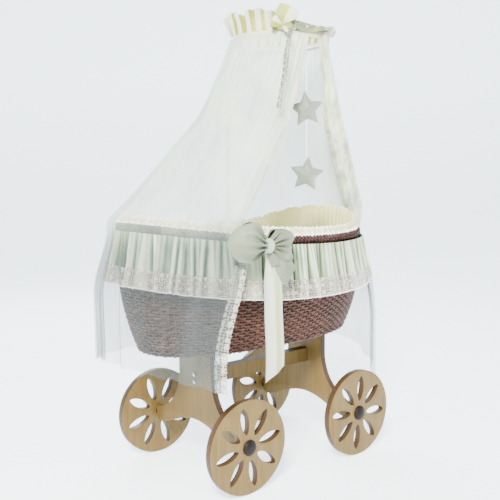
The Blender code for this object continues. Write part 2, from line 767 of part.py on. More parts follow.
def veil_point(share, down):
    """Point of the veil at a share of its width and a share of its height from ring to hem."""
    height = mix(VEIL_TOP_Z, veil_hem(share), down)
    reach = veil_reach(share, height)
    angle = veil_ring_angle(share)
    foot = veil_foot(share, height)
    x = mix(RING_X + VEIL_TOP_RADIUS * math.cos(angle), foot.x, reach)
    y = mix(VEIL_TOP_RADIUS * math.sin(angle), foot.y, reach)
    return Vector((x, y, height))


def make_veil(look):
    """The veil's thickness as three joined panels, so that the space under it stays open."""
    names = ("veil_front", "veil_back", "veil_rear")
    downs = [0.0, 0.012, 0.05, 0.11, 0.20, 0.30, 0.40, 0.48, 0.54, 0.575, 0.61, 0.68, 0.82, 1.0]
    for name, start, end in zip(names, VEIL_SPLITS, VEIL_SPLITS[1:]):
        count = max(14, round((end - start) * 36))
        low = start + (0.0012 if start > 0.0 else 0.0)
        bm = bmesh.new()
        rows = []
        for down in downs:
            shares = [mix(low, end, k / count) for k in range(count + 1)]
            rows.append([bm.verts.new(veil_point(share, down)) for share in shares])
        for upper, lower in zip(rows, rows[1:]):
            for k in range(count):
                bm.faces.new((upper[k], upper[k + 1], lower[k + 1], lower[k]))
        panel = mesh_object(name, bm, look)
        solid = panel.modifiers.new("cloth", "SOLIDIFY")
        solid.thickness = VEIL_THICK
        solid.offset = 0.0


# ---- Hanging stars ------------------------------------------------------------------------
def star_shape():
    """Puffed five-point star in the XZ plane, point up, about its centre."""
    bm = bmesh.new()
    rims = []
    for y in (-0.003, 0.003):
        rim = []
        for k in range(10):
            radius = STAR_RADIUS if k % 2 == 0 else STAR_RADIUS * 0.52
            turn = math.pi / 2.0 + math.pi * k / 5.0
            rim.append(bm.verts.new((radius * math.cos(turn), y, radius * math.sin(turn))))
        rims.append(rim)
    tips = [bm.verts.new((0.0, y, 0.0)) for y in (-STAR_HALF_THICK, STAR_HALF_THICK)]
    for k in range(10):
        after = (k + 1) % 10
        bm.faces.new((rims[0][k], rims[0][after], rims[1][after], rims[1][k]))
        for rim, tip in zip(rims, tips):
            bm.faces.new((rim[k], rim[after], tip))
    bmesh.ops.rotate(bm, verts=bm.verts, matrix=Matrix.Rotation(STAR_FACING, 3, "Z"))
    return bm


def make_stars(cloth, cord):
    """String from the ring's near side to the upper star, and a short tie to the lower star."""
    star_y = -math.sqrt(RING_RADIUS ** 2 - (STAR_X - RING_X) ** 2)
    high = STAR_Z[0] + STAR_RADIUS + GAP
    low = STAR_Z[1] + STAR_RADIUS + GAP
    notch = STAR_Z[0] - STAR_RADIUS * 0.52 - 2.0 * STRING_RADIUS
    stretches = [("star_string", high, RING_Z - RING_WIRE - 0.0006), ("star_tie", low, notch)]
    for name, bottom, top in stretches:
        string = turned(rod(STRING_RADIUS, bottom, top), 8)
        mesh_object(name, string, cord, (STAR_X, star_y, 0.0))
    for name, height in (("star_upper", STAR_Z[0]), ("star_lower", STAR_Z[1])):
        mesh_object(name, star_shape(), cloth, (STAR_X, star_y, height))


# ---- Whole object -------------------------------------------------------------------------
def make_bassinet():
    ply = make_material("plywood", (0.62, 0.43, 0.25), 0.55)
    dowel = make_material("beech_dowel", (0.70, 0.52, 0.33), 0.6)
    steel = make_material("zinc_steel", (0.60, 0.60, 0.62), 0.35, 1.0)
    dark = make_material("dark_cap", (0.05, 0.022, 0.018), 0.35)
    willow = make_material("brown_willow", (0.20, 0.075, 0.05), 0.5)
    braid = make_material("dark_willow", (0.15, 0.05, 0.04), 0.5)
    quilt = make_material("cream_quilt", (0.80, 0.76, 0.58), 0.9)
    white = make_material("white_cotton", (0.85, 0.84, 0.78), 0.9)
    sage = make_material("sage_cotton", (0.60, 0.65, 0.55), 0.9)
    satin = make_material("lime_satin", (0.76, 0.76, 0.48), 0.5)
    lace = make_material("white_lace", (0.85, 0.83, 0.76), 0.9)
    tulle = make_material("white_tulle", (0.88, 0.89, 0.87), 0.9)
    painted = make_material("white_pole", (0.85, 0.85, 0.83), 0.4)
    star = make_material("silver_sage", (0.50, 0.55, 0.50), 0.6)
    make_stand(ply, dowel, steel, dark)
    make_base(ply)
    make_wicker(willow, braid)
    make_lining(quilt, quilt)
    make_bedding(white, quilt)
    make_skirt(sage)
    make_bow(sage)
    make_pole(painted, white)
    make_ring(painted, satin)
    make_top_bow(satin, lace)
    make_veil(tulle)
    make_stars(star, lace)


clear_scene()
FRAME = bpy.data.objects.new("frame_origin", None)
bpy.context.scene.collection.objects.link(FRAME)
FRAME.location = STAND_CENTRE
make_bassinet()
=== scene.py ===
"""The look of the wicker bassinet: woven willow, birch plywood, gathered cotton, lace and tulle."""

import math

import bmesh
import bpy
import numpy as np
from mathutils import Matrix, Vector, noise


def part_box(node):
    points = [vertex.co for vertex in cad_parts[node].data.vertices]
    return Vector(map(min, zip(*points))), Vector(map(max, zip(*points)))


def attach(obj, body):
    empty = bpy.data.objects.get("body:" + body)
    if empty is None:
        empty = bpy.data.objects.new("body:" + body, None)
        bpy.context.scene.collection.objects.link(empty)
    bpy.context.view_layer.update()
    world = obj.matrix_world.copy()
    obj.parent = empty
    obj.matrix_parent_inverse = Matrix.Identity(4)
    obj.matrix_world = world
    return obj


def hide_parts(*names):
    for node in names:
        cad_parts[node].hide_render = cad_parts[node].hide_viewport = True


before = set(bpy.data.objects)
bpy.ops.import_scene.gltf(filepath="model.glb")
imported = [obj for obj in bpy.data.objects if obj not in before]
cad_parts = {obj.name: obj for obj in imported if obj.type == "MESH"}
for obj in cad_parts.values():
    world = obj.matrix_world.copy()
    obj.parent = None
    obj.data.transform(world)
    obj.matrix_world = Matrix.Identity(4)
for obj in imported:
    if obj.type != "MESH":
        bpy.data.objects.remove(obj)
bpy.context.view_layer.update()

# ---- Places, read from the frame ----------------------------------------------------------
WHEELS = ("front_left", "rear_left", "front_right", "rear_right")
WHEEL_BOXES = {name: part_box("wheel_" + name) for name in WHEELS}
CENTRE = sum((low + high for low, high in WHEEL_BOXES.values()), Vector()) / 8.0
OFFSET = Vector((CENTRE.x, CENTRE.y, 0.0))


def local_box(node):
    """A node's box about the stand's centre line."""
    low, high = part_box(node)
    return low - OFFSET, high - OFFSET


RING_LOW, RING_HIGH = local_box("canopy_ring")
RING_X = (RING_LOW.x + RING_HIGH.x) / 2.0
RING_Z = (RING_LOW.z + RING_HIGH.z) / 2.0
RING_RADIUS = (RING_HIGH.x - RING_LOW.x) / 2.0 - 0.004
VEIL_TOP_Z = RING_Z + 0.010
VEIL_TOP_RADIUS = RING_RADIUS + 0.0075
SHELL_LOW, SHELL_HIGH = local_box("basket_shell")
BASKET_X = (SHELL_LOW.x + SHELL_HIGH.x) / 2.0
BASE_Z = SHELL_LOW.z
RIM_LENGTH = 0.424
RIM_WIDTH = 0.240
WALL = 0.012
BRAID_RADIUS = 0.014
OVAL_POWER = 2.3
VEIL_LENGTH = 0.491
VEIL_WIDTH = 0.300
VEIL_RIM_LENGTH = 0.448
VEIL_RIM_WIDTH = 0.264
POLE_SHARE = 0.68


def linked(name, data):
    """A new object, in the scene."""
    made = bpy.data.objects.new(name, data)
    bpy.context.scene.collection.objects.link(made)
    return made


# ---- The camera and the room --------------------------------------------------------------
CAMERA_PLACE = Vector((-1.5539, -1.8281, 0.9176))
CAMERA_TURN = math.radians(-40.36)
CAMERA_LIFT = math.radians(7.54)
CAMERA_ROLL = math.radians(-0.76)
CAMERA_LENS = 54.08
CAMERA_SENSOR = 36.0
CAMERA_SHIFT = (-0.0076, 0.045)
# name, place, target, size, watts, colour
LIGHTS = (("key", (-2.6, -2.4, 3.0), (0.0, 0.0, 0.6), 1.1, 780.0, (1.0, 0.99, 0.965)),
          ("fill", (2.8, -2.6, 1.8), (0.0, 0.0, 0.6), 2.4, 70.0, (0.93, 0.97, 1.0)),
          ("back", (0.8, 3.0, 2.8), (0.0, 0.0, 0.8), 2.0, 170.0, (1.0, 1.0, 1.0)))
SKY_COLOUR = (0.86, 0.93, 0.98, 1.0)
PAPER_COLOUR = (0.86, 0.90, 0.925)
PAPER_GLOW = (0.82, 0.94, 1.0, 1.0)
PAPER_STRENGTH = 1.9
PAPER_HALF_WIDTH = 40.0
PAPER_BEND = (5.0, 2.0)
PAPER_TOP = 9.0
PAPER_DROP = 0.0006


def make_camera():
    data = bpy.data.cameras.new("camera")
    data.lens = CAMERA_LENS
    data.sensor_width = CAMERA_SENSOR
    data.shift_x, data.shift_y = CAMERA_SHIFT
    camera = linked("camera", data)
    turn = Matrix.Rotation(CAMERA_TURN, 4, "Z") @ Matrix.Rotation(math.pi / 2.0 - CAMERA_LIFT, 4, "X")
    turn = turn @ Matrix.Rotation(CAMERA_ROLL, 4, "Z")
    camera.matrix_world = Matrix.Translation(CAMERA_PLACE + OFFSET) @ turn
    bpy.context.scene.camera = camera


def make_light(name, place, target, size, power, colour):
    data = bpy.data.lights.new(name, "AREA")
    data.shape = "DISK"
    data.size = size
    data.energy = power
    data.color = colour
    light = linked(name, data)
    light.location = place
    aim = Vector(target) - Vector(place)
    light.rotation_euler = aim.to_track_quat("-Z", "Y").to_euler()


def make_room():
    world = bpy.data.worlds.new("studio")
    bpy.context.scene.world = world
    world.use_nodes = True
    back = world.node_tree.nodes["Background"]
    back.inputs["Color"].default_value = SKY_COLOUR
    back.inputs["Strength"].default_value = 1.0
    for light in LIGHTS:
        make_light(*light)
    make_paper()


def make_paper():
    """Studio paper that bends up into a backdrop, square to the camera."""
    bm = bmesh.new()
    start, bend = PAPER_BEND
    profile = [(-PAPER_HALF_WIDTH, 0.0), (start, 0.0)]
    for k in range(1, 13):
        turn = math.pi / 2.0 * k / 12.0
        profile.append((start + bend * math.sin(turn), bend - bend * math.cos(turn)))
    profile.append((start + bend, PAPER_TOP))
    rows = []
    for side in (-PAPER_HALF_WIDTH, PAPER_HALF_WIDTH):
        rows.append([bm.verts.new((side, y, z - PAPER_DROP)) for y, z in profile])
    for k in range(len(profile) - 1):
        bm.faces.new((rows[0][k], rows[0][k + 1], rows[1][k + 1], rows[1][k]))
    data = mesh_from(bm, "studio_floor")
    data.shade_smooth()
    floor = linked("studio_floor", data)
    floor.rotation_euler.z = CAMERA_TURN
    look, shader = new_look("studio_paper", PAPER_COLOUR, 0.8)
    shader.inputs["Emission Color"].default_value = PAPER_GLOW
    shader.inputs["Emission Strength"].default_value = PAPER_STRENGTH
    data.materials.append(look)


# ---- Materials ----------------------------------------------------------------------------
MATT_SPECULAR = 0.18
PLY_LAYER = 0.0042
EVEN = (1.0, 1.0, 1.0)


def new_look(name, colour, roughness, **sockets):
    """Principled material; extra sockets are named with underscores, such as Sheen_Weight."""
    look = bpy.data.materials.new(name)
    look.use_nodes = True
    shader = look.node_tree.nodes["Principled BSDF"]
    shader.inputs["Base Color"].default_value = (*colour, 1.0)
    shader.inputs["Roughness"].default_value = roughness
    shader.inputs["Specular IOR Level"].default_value = MATT_SPECULAR
    for socket, value in sockets.items():
        shader.inputs[socket.replace("_", " ")].default_value = value
    return look, shader


def node(look, kind, inputs=(), **settings):
    """Add a node; inputs are (socket, value or output to link) pairs."""
    made = look.node_tree.nodes.new("ShaderNode" + kind)
    for name, value in settings.items():
        setattr(made, name, value)
    for socket, value in inputs:
        if isinstance(value, bpy.types.NodeSocket):
            look.node_tree.links.new(value, made.inputs[socket])
        else:
            made.inputs[socket].default_value = value
    return made


def place_in(look, stretch):
    """Object coordinates scaled along each axis."""
    where = node(look, "TexCoord").outputs["Object"]
    return node(look, "Mapping", [("Vector", where), ("Scale", stretch)]).outputs["Vector"]


def noise_of(look, stretch, scale, detail=3.0, rough=0.5):
    where = place_in(look, stretch)
    pairs = [("Vector", where), ("Scale", scale), ("Detail", detail), ("Roughness", rough)]
    return node(look, "TexNoise", pairs).outputs["Fac"]


def ramp(look, amount, stops):
    made = node(look, "ValToRGB", [("Fac", amount)])
    band = made.color_ramp
    while len(band.elements) < len(stops):
        band.elements.new(0.5)
    for element, (at, colour) in zip(band.elements, stops):
        element.position = at
        element.color = (*colour, 1.0)
    return made.outputs["Color"]


def math_of(look, operation, first, second=0.0):
    made = node(look, "Math", operation=operation)
    for socket, value in zip(made.inputs, (first, second)):
        if isinstance(value, bpy.types.NodeSocket):
            look.node_tree.links.new(value, socket)
        else:
            socket.default_value = value
    return made.outputs[0]


def scaled(look, value, factor, extra):
    """value times factor, plus extra."""
    made = math_of(look, "MULTIPLY_ADD", value, factor)
    made.node.inputs[2].default_value = extra
    return made


def swing_of(look, value, factor):
    """How far value is from its middle, times factor."""
    return math_of(look, "MULTIPLY", math_of(look, "SUBTRACT", value, 0.5), factor)


def axes_of(look, source="Object"):
    """The three parts of a texture coordinate."""
    return node(look, "SeparateXYZ", [("Vector", node(look, "TexCoord").outputs[source])]).outputs


def attribute_of(look, name):
    return node(look, "Attribute", attribute_name=name).outputs["Fac"]


def cells_of(look, scale, randomness):
    """Distance to the middle of each cell, over the cloth's own measure."""
    pairs = [("Vector", node(look, "UVMap").outputs["UV"]), ("Scale", scale), ("Randomness", randomness)]
    return node(look, "TexVoronoi", pairs).outputs["Distance"]


def mix_colour(look, amount, first, second, blend="MIX"):
    made = node(look, "MixRGB", blend_type=blend)
    for socket, value in zip(made.inputs, (amount, first, second)):
        if isinstance(value, bpy.types.NodeSocket):
            look.node_tree.links.new(value, socket)
        elif isinstance(value, tuple):
            socket.default_value = (*value, 1.0)
        else:
            socket.default_value = value
    return made.outputs[0]


def wire(look, output, shader, socket):
    look.node_tree.links.new(output, shader.inputs[socket])


def bump_with(look, shader, height, strength, distance):
    pairs = [("Height", height), ("Strength", strength), ("Distance", distance)]
    made = node(look, "Bump", pairs)
    wire(look, made.outputs["Normal"], shader, "Normal")


def shade(colour, factor):
    return tuple(min(1.0, channel * factor) for channel in colour)


def ply_look(name, across):
    """Birch plywood: long grain on its faces, dark and light layers on its sawn edges.

    across is the axis through the board, as 0, 1 or 2.
    """
    look, shader = new_look(name, (0.19, 0.11, 0.05), 0.42, Coat_Weight=0.05, Coat_Roughness=0.25)
    stretch = [9.0, 9.0, 9.0]
    stretch[2 if across != 2 else 0] = 1.0
    grain = noise_of(look, stretch, 7.0, 6.0, 0.62)
    broad = noise_of(look, [value * 0.35 for value in stretch], 3.0, 2.0)
    face = ramp(look, grain, [(0.28, (0.085, 0.050, 0.014)), (0.50, (0.140, 0.088, 0.026)),
                              (0.75, (0.195, 0.130, 0.044))])
    face = mix_colour(look, broad, face, (0.125, 0.076, 0.021))
    layers = math_of(look, "SINE", math_of(look, "MULTIPLY", axes_of(look)[across], math.tau / PLY_LAYER))
    edge = ramp(look, layers, [(0.0, (0.024, 0.011, 0.005)), (0.45, (0.046, 0.023, 0.010)),
                               (1.0, (0.085, 0.046, 0.020))])
    speck = noise_of(look, (60.0, 60.0, 60.0), 5.0)
    specks = ramp(look, speck, [(0.3, (0.04, 0.02, 0.01)), (0.7, (0.12, 0.07, 0.03))])
    edge = mix_colour(look, 0.25, edge, specks)
    facing = math_of(look, "ABSOLUTE", axes_of(look, "Normal")[across])
    is_face = math_of(look, "GREATER_THAN", facing, 0.6)
    wire(look, mix_colour(look, is_face, edge, face), shader, "Base Color")
    wire(look, scaled(look, grain, 0.25, 0.32), shader, "Roughness")
    bump_with(look, shader, grain, 0.25, 0.0006)
    return look


def willow_look(name, dark, middle, light):
    """Stained willow rods: streaks along each rod, and a colour that drifts from rod to rod."""
    look, shader = new_look(name, middle, 0.45, Coat_Weight=0.08, Coat_Roughness=0.3)
    drift = noise_of(look, (1.0, 1.0, 9.0), 26.0, 2.0)
    streak = noise_of(look, (12.0, 12.0, 160.0), 8.0, 4.0, 0.6)
    tone = math_of(look, "MULTIPLY", drift, 0.65)
    tone = math_of(look, "ADD", tone, math_of(look, "MULTIPLY", streak, 0.35))
    wire(look, ramp(look, tone, [(0.30, dark), (0.50, middle), (0.70, light)]), shader, "Base Color")
    bump_with(look, shader, streak, 0.35, 0.0005)
    return look


def cloth_look(name, colour, warm, roughness=0.85, weave=1500.0, sheen=0.10):
    """Fine woven cotton or satin; warm is the tint that folds drift towards."""
    look, shader = new_look(name, colour, roughness, Sheen_Weight=sheen, Sheen_Roughness=0.5)
    drift = noise_of(look, EVEN, 9.0, 3.0)
    tint = ramp(look, drift, [(0.32, shade(colour, 0.93)), (0.52, colour), (0.72, warm)])
    where = axes_of(look)
    warp = math_of(look, "SINE", math_of(look, "MULTIPLY", where["X"], weave))
    weft = math_of(look, "SINE", math_of(look, "MULTIPLY", where["Z"], weave))
    threads = math_of(look, "MULTIPLY", warp, weft)
    crease = noise_of(look, EVEN, 60.0, 4.0)
    height = math_of(look, "ADD", math_of(look, "MULTIPLY", threads, 0.12), crease)
    wire(look, tint, shader, "Base Color")
    bump_with(look, shader, height, 0.28, 0.0012)
    return look


def fold_shaded_look(name, valley, slope, ridge):
    """Cloth in folds or puffs: its 'fold' value runs from the valleys to the ridges, and the colour follows it
    as painted shade, dark in the valleys and light on the ridges.
    """
    look, shader = new_look(name, slope, 0.85, Sheen_Weight=0.08)
    fold = attribute_of(look, "fold")
    drift = noise_of(look, (1.0, 1.0, 0.25), 40.0, 3.0)
    amount = math_of(look, "ADD", fold, swing_of(look, drift, 0.45))
    # painted shade and painted light: darker in the fold valleys, lighter on the ridges
    wire(look, ramp(look, amount, [(0.02, valley), (0.34, slope), (0.80, ridge)]), shader, "Base Color")
    crease = noise_of(look, (1.0, 1.0, 0.3), 150.0, 4.0)
    bump_with(look, shader, crease, 0.35, 0.0014)
    return look


def hem_lace_look():
    """Fine net with flowers over the skirt's hem, its ground painted darker in the fold valleys as painted
    shade; denser along each ridge.
    """
    look, shader = new_look("skirt_lace", (0.62, 0.54, 0.45), 0.9, Sheen_Weight=0.3)
    fold = attribute_of(look, "fold")
    petals = math_of(look, "LESS_THAN", cells_of(look, 58.0, 0.55), 0.34)
    net = math_of(look, "GREATER_THAN", cells_of(look, 210.0, 0.3), 0.46)
    thread = math_of(look, "MAXIMUM", petals, net)
    cover = scaled(look, fold, 0.35, 0.34)
    wire(look, math_of(look, "MAXIMUM", thread, cover), shader, "Alpha")
    # painted shade: the lace's ground darker in the fold valleys, lighter on the ridges
    ground = ramp(look, fold, [(0.05, (0.035, 0.025, 0.017)), (0.45, (0.20, 0.175, 0.12)),
                               (0.85, (0.48, 0.45, 0.33))])
    tone = mix_colour(look, math_of(look, "MULTIPLY", thread, 0.60), ground, (0.58, 0.55, 0.46))
    wire(look, tone, shader, "Base Color")
    bump_with(look, shader, thread, 0.5, 0.0008)
    return look


def lace_look(name, colour, solid):
    """Lace: thread with round eyelets and a scalloped net, cut away by its alpha.

    solid is the least cover, from 0 to 1, left between the threads.
    """
    look, shader = new_look(name, colour, 0.9, Sheen_Weight=0.3)
    net = math_of(look, "GREATER_THAN", cells_of(look, 120.0, 0.35), 0.46)
    petals = math_of(look, "LESS_THAN", cells_of(look, 46.0, 0.15), 0.30)
    thread = math_of(look, "MAXIMUM", net, petals)
    cover = math_of(look, "MAXIMUM", thread, solid)
    wire(look, cover, shader, "Alpha")
    tone = mix_colour(look, thread, shade(colour, 0.82), colour)
    wire(look, tone, shader, "Base Color")
    bump_with(look, shader, thread, 0.5, 0.0008)
    return look


def tulle_look():
    """Sheer net; 'gather' is its cover where it is bunched, and 'low' is 1 where it hangs low over the basket,
    painted dark blue-grey there as painted shade.
    """
    look, shader = new_look("tulle", (0.60, 0.68, 0.60), 0.85, Sheen_Weight=0.04)
    bunch = attribute_of(look, "gather")
    low = attribute_of(look, "low")
    drift = noise_of(look, (1.0, 1.0, 0.30), 12.0, 3.0)
    cover = math_of(look, "ADD", bunch, swing_of(look, drift, 0.30))
    wire(look, cover, shader, "Alpha")
    warm = ramp(look, drift, [(0.35, (0.42, 0.50, 0.42)), (0.55, (0.52, 0.60, 0.50)),
                              (0.72, (0.62, 0.66, 0.50))])
    drawn = ramp(look, bunch, [(0.72, (1.0, 1.0, 1.0)), (0.92, (0.90, 0.885, 0.73))])
    warm = mix_colour(look, 1.0, warm, drawn, "MULTIPLY")
    # painted shade: dark blue-grey where the net hangs low over the basket
    wire(look, mix_colour(look, low, warm, (0.080, 0.105, 0.108)), shader, "Base Color")
    fine = noise_of(look, EVEN, 420.0, 2.0)
    bump_with(look, shader, fine, 0.25, 0.0006)
    return look


def drape_look():
    """The curtain's edges where many layers of net lie together: creamy and nearly opaque."""
    look, shader = new_look("drawn_tulle", (0.62, 0.63, 0.50), 0.85, Sheen_Weight=0.05)
    drift = noise_of(look, (1.0, 1.0, 0.05), 34.0, 4.0, 0.6)
    tint = ramp(look, drift, [(0.30, (0.36, 0.40, 0.28)), (0.50, (0.56, 0.59, 0.43)),
                              (0.70, (0.72, 0.73, 0.56))])
    wire(look, tint, shader, "Base Color")
    wire(look, ramp(look, drift, [(0.30, (0.45, 0.45, 0.45)), (0.62, (0.92, 0.92, 0.92))]), shader, "Alpha")
    bump_with(look, shader, noise_of(look, (1.0, 1.0, 0.15), 180.0, 3.0), 0.35, 0.0012)
    return look


def tail_look():
    """White ribbon with a broad lime stripe down one side and a woven rib."""
    look, shader = new_look("striped_ribbon", (0.86, 0.86, 0.78), 0.55, Sheen_Weight=0.4)
    uv = node(look, "SeparateXYZ", [("Vector", node(look, "UVMap").outputs["UV"])])
    stripe = ramp(look, math_of(look, "MULTIPLY", uv.outputs["X"], 1.0 / 0.064),
                  [(0.02, (0.30, 0.34, 0.24)), (0.10, (0.44, 0.46, 0.36)), (0.52, (0.50, 0.52, 0.41)),
                   (0.60, (0.33, 0.37, 0.15)), (0.84, (0.38, 0.41, 0.18)), (0.92, (0.46, 0.48, 0.36))])
    fade = noise_of(look, EVEN, 24.0, 3.0)
    faded = mix_colour(look, math_of(look, "MULTIPLY", fade, 0.35), stripe, (0.30, 0.34, 0.24))
    wire(look, faded, shader, "Base Color")
    ribs = math_of(look, "SINE", math_of(look, "MULTIPLY", uv.outputs["Y"], 2200.0))
    bump_with(look, shader, math_of(look, "ADD", math_of(look, "MULTIPLY", ribs, 0.15), fade), 0.3, 0.001)
    return look


def hard_look(name, colour, roughness, metallic=0.0, coat=0.0):
    """Paint, plastic or plated steel with faint handling marks."""
    look, shader = new_look(name, colour, roughness, Metallic=metallic, Coat_Weight=coat)
    marks = noise_of(look, EVEN, 90.0, 5.0, 0.6)
    tint = ramp(look, marks, [(0.35, shade(colour, 0.86)), (0.6, colour), (0.8, shade(colour, 1.08))])
    wire(look, tint, shader, "Base Color")
    wire(look, scaled(look, marks, 0.22, roughness - 0.08), shader, "Roughness")
    bump_with(look, shader, marks, 0.12, 0.0004)
    return look


def make_looks():
    return {
        "ply_x": ply_look("plywood_x", 0),
        "ply_y": ply_look("plywood_y", 1),
        "ply_z": ply_look("plywood_z", 2),
        "willow": willow_look("willow", (0.010, 0.004, 0.003), (0.052, 0.019, 0.011), (0.135, 0.060, 0.040)),
        "braid": willow_look("braid", (0.008, 0.002, 0.002), (0.034, 0.010, 0.007), (0.090, 0.034, 0.024)),
        # painted shade: near-black sheet inside the weave that darkens the gaps between the rods
        "under": willow_look("under", (0.004, 0.002, 0.002), (0.008, 0.003, 0.003), (0.016, 0.006, 0.005)),
        "bow": cloth_look("bow_cotton", (0.140, 0.160, 0.105), (0.215, 0.235, 0.160), 0.7),
        "tail": tail_look(),
        "knot": cloth_look("knot_cotton", (0.30, 0.33, 0.24), (0.50, 0.51, 0.40), 0.6, 900.0, 0.6),
        # painted shade in the skirt's fold valleys, painted light on its ridges
        "skirt": fold_shaded_look("skirt_cotton", (0.014, 0.021, 0.010), (0.120, 0.165, 0.090),
                               (0.54, 0.60, 0.43)),
        "quilt": cloth_look("cream_quilt", (0.60, 0.57, 0.27), (0.72, 0.67, 0.38)),
        # painted shade along the quilting's stitch lines
        "stitched": fold_shaded_look("stitched_quilt", (0.17, 0.15, 0.045), (0.50, 0.47, 0.21),
                                  (0.66, 0.62, 0.33)),
        "cream": cloth_look("cream_cotton", (0.78, 0.75, 0.50), (0.86, 0.82, 0.62)),
        "white": cloth_look("white_cotton", (0.86, 0.86, 0.81), (0.92, 0.91, 0.86)),
        "lime": cloth_look("lime_satin", (0.21, 0.23, 0.030), (0.38, 0.39, 0.09), 0.42, 1800.0, 0.6),
        "cream_satin": cloth_look("cream_satin", (0.52, 0.48, 0.35), (0.60, 0.58, 0.37), 0.42, 1800.0, 0.6),
        "ribbon": cloth_look("sage_ribbon", (0.13, 0.15, 0.065), (0.30, 0.30, 0.10), 0.5, 1800.0, 0.6),
        "lace": lace_look("white_lace", (0.34, 0.33, 0.27), 0.25),
        "dotted": lace_look("dotted_lace", (0.13, 0.135, 0.10), 0.30),
        "crochet": lace_look("white_crochet", (0.93, 0.91, 0.85), 0.80),
        "skirt_lace": hem_lace_look(),
        "tulle": tulle_look(),
        "drape": drape_look(),
        "star": cloth_look("star_cloth", (0.155, 0.175, 0.125), (0.25, 0.27, 0.20), 0.36, 2200.0, 0.7),
        "paint": hard_look("white_paint", (0.80, 0.81, 0.80), 0.35, 0.0, 0.3),
        "plastic": hard_look("white_plastic", (0.78, 0.79, 0.77), 0.5),
        "steel": hard_look("zinc_steel", (0.55, 0.55, 0.56), 0.32, 1.0),
        "cap": hard_look("brown_cap", (0.006, 0.002, 0.0015), 0.50),
    }


# ---- Making pieces ------------------------------------------------------------------------
def add_piece(name, data, look, body, replaces=(), levels=0):
    """Put a mesh drawn about the stand's centre into the frame and let it ride on its body."""
    data.transform(Matrix.Translation(OFFSET))
    piece = linked(name, data)
    if look is not None:
        data.materials.append(look)
    data.shade_smooth()
    if levels:
        fine = piece.modifiers.new("fine", "SUBSURF")
        fine.levels = levels
        fine.render_levels = levels
    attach(piece, body)
    if replaces:
        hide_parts(*replaces)
    return piece


def mesh_of(name, verts, faces, uvs=None):
    data = bpy.data.meshes.new(name)
    data.from_pydata([tuple(v) for v in verts], [], faces)
    if uvs is not None:
        layer = data.uv_layers.new(name="UVMap")
        where = np.array([uvs[loop.vertex_index] for loop in data.loops], np.float32)
        layer.data.foreach_set("uv", where.ravel())
    return data


def grid_mesh(name, rows, closed=False):
    """Mesh through rows of points, with UVs in metres along and across the rows."""
    rows = np.asarray(rows, float)
    count, width = rows.shape[:2]
    verts = rows.reshape(-1, 3)
    steps = width if closed else width - 1
    faces = []
    for r in range(count - 1):
        for c in range(steps):
            after = (c + 1) % width
            faces.append((r * width + c, r * width + after, (r + 1) * width + after, (r + 1) * width + c))
    along = np.linalg.norm(np.diff(rows[count // 2], axis=0), axis=1)
    across = np.linalg.norm(np.diff(rows[:, width // 2], axis=0), axis=1)
    u = np.concatenate([[0.0], np.cumsum(along)])
    v = np.concatenate([[0.0], np.cumsum(across)])
    uvs = np.stack(np.broadcast_arrays(u[None, :], v[:, None]), axis=-1).reshape(-1, 2)
    return mesh_of(name, verts, faces, uvs)


def tube_parts(centres, outs, ups, half_out, half_up, sides, closed):
    """Vertices and faces of a rod with an oval section along a path."""
    turns = np.arange(sides) * math.tau / sides
    ring = (outs[:, None, :] * (half_out * np.cos(turns))[None, :, None]
            + ups[:, None, :] * (half_up * np.sin(turns))[None, :, None])
    verts = (centres[:, None, :] + ring).reshape(-1, 3)
    count = len(centres)
    faces = []
    for r in range(count if closed else count - 1):
        low = r * sides
        high = ((r + 1) % count) * sides
        for k in range(sides):
            after = (k + 1) % sides
            faces.append((low + k, low + after, high + after, high + k))
    if not closed:
        faces.append(tuple(range(sides)))
        faces.append(tuple((count - 1) * sides + k for k in range(sides)))
    return verts, faces


def gather_tubes(name, tubes):
    """One mesh out of many rods."""
    verts = []
    faces = []
    start = 0
    for part_verts, part_faces in tubes:
        verts.append(part_verts)
        faces += [tuple(index + start for index in face) for face in part_faces]
        start += len(part_verts)
    data = mesh_of(name, np.concatenate(verts), faces)
    mend(data)
    return data


def mesh_from(bm, name):
    """Turn a finished bmesh into a mesh."""
    data = bpy.data.meshes.new(name)
    bm.to_mesh(data)
    bm.free()
    return data


def mend(data, holes=False, weld=0.0):
    """Turn the faces outward, after closing the open rims or welding close points where asked."""
    bm = bmesh.new()
    bm.from_mesh(data)
    if holes:
        bmesh.ops.holes_fill(bm, edges=[edge for edge in bm.edges if edge.is_boundary], sides=0)
    if weld:
        bmesh.ops.remove_doubles(bm, verts=bm.verts, dist=weld)
    bmesh.ops.recalc_face_normals(bm, faces=bm.faces)
    bm.to_mesh(data)
    bm.free()


def keep_values(data, name, values):
    """Keep one number on each point for a material to read."""
    layer = data.attributes.new(name, "FLOAT", "POINT")
    layer.data.foreach_set("value", np.array(values, np.float32))


def steps_round(count):
    """Equal steps of one full turn."""
    return np.arange(count) * math.tau / count


def upward(points):
    return np.broadcast_to(np.array([0.0, 0.0, 1.0]), points.shape)


def across_at(j, count):
    """Place of step j out of count, from -1 to 1."""
    return 2.0 * j / (count - 1) - 1.0


def hump(away, width):
    """1 at no distance, falling smoothly to nothing beyond the width."""
    return math.exp(-((away / width) ** 2))


def smooth_step(low, high, at):
    share = min(1.0, max(0.0, (at - low) / (high - low)))
    return share * share * (3.0 - 2.0 * share)


def mix(low, high, share):
    return low + (high - low) * share


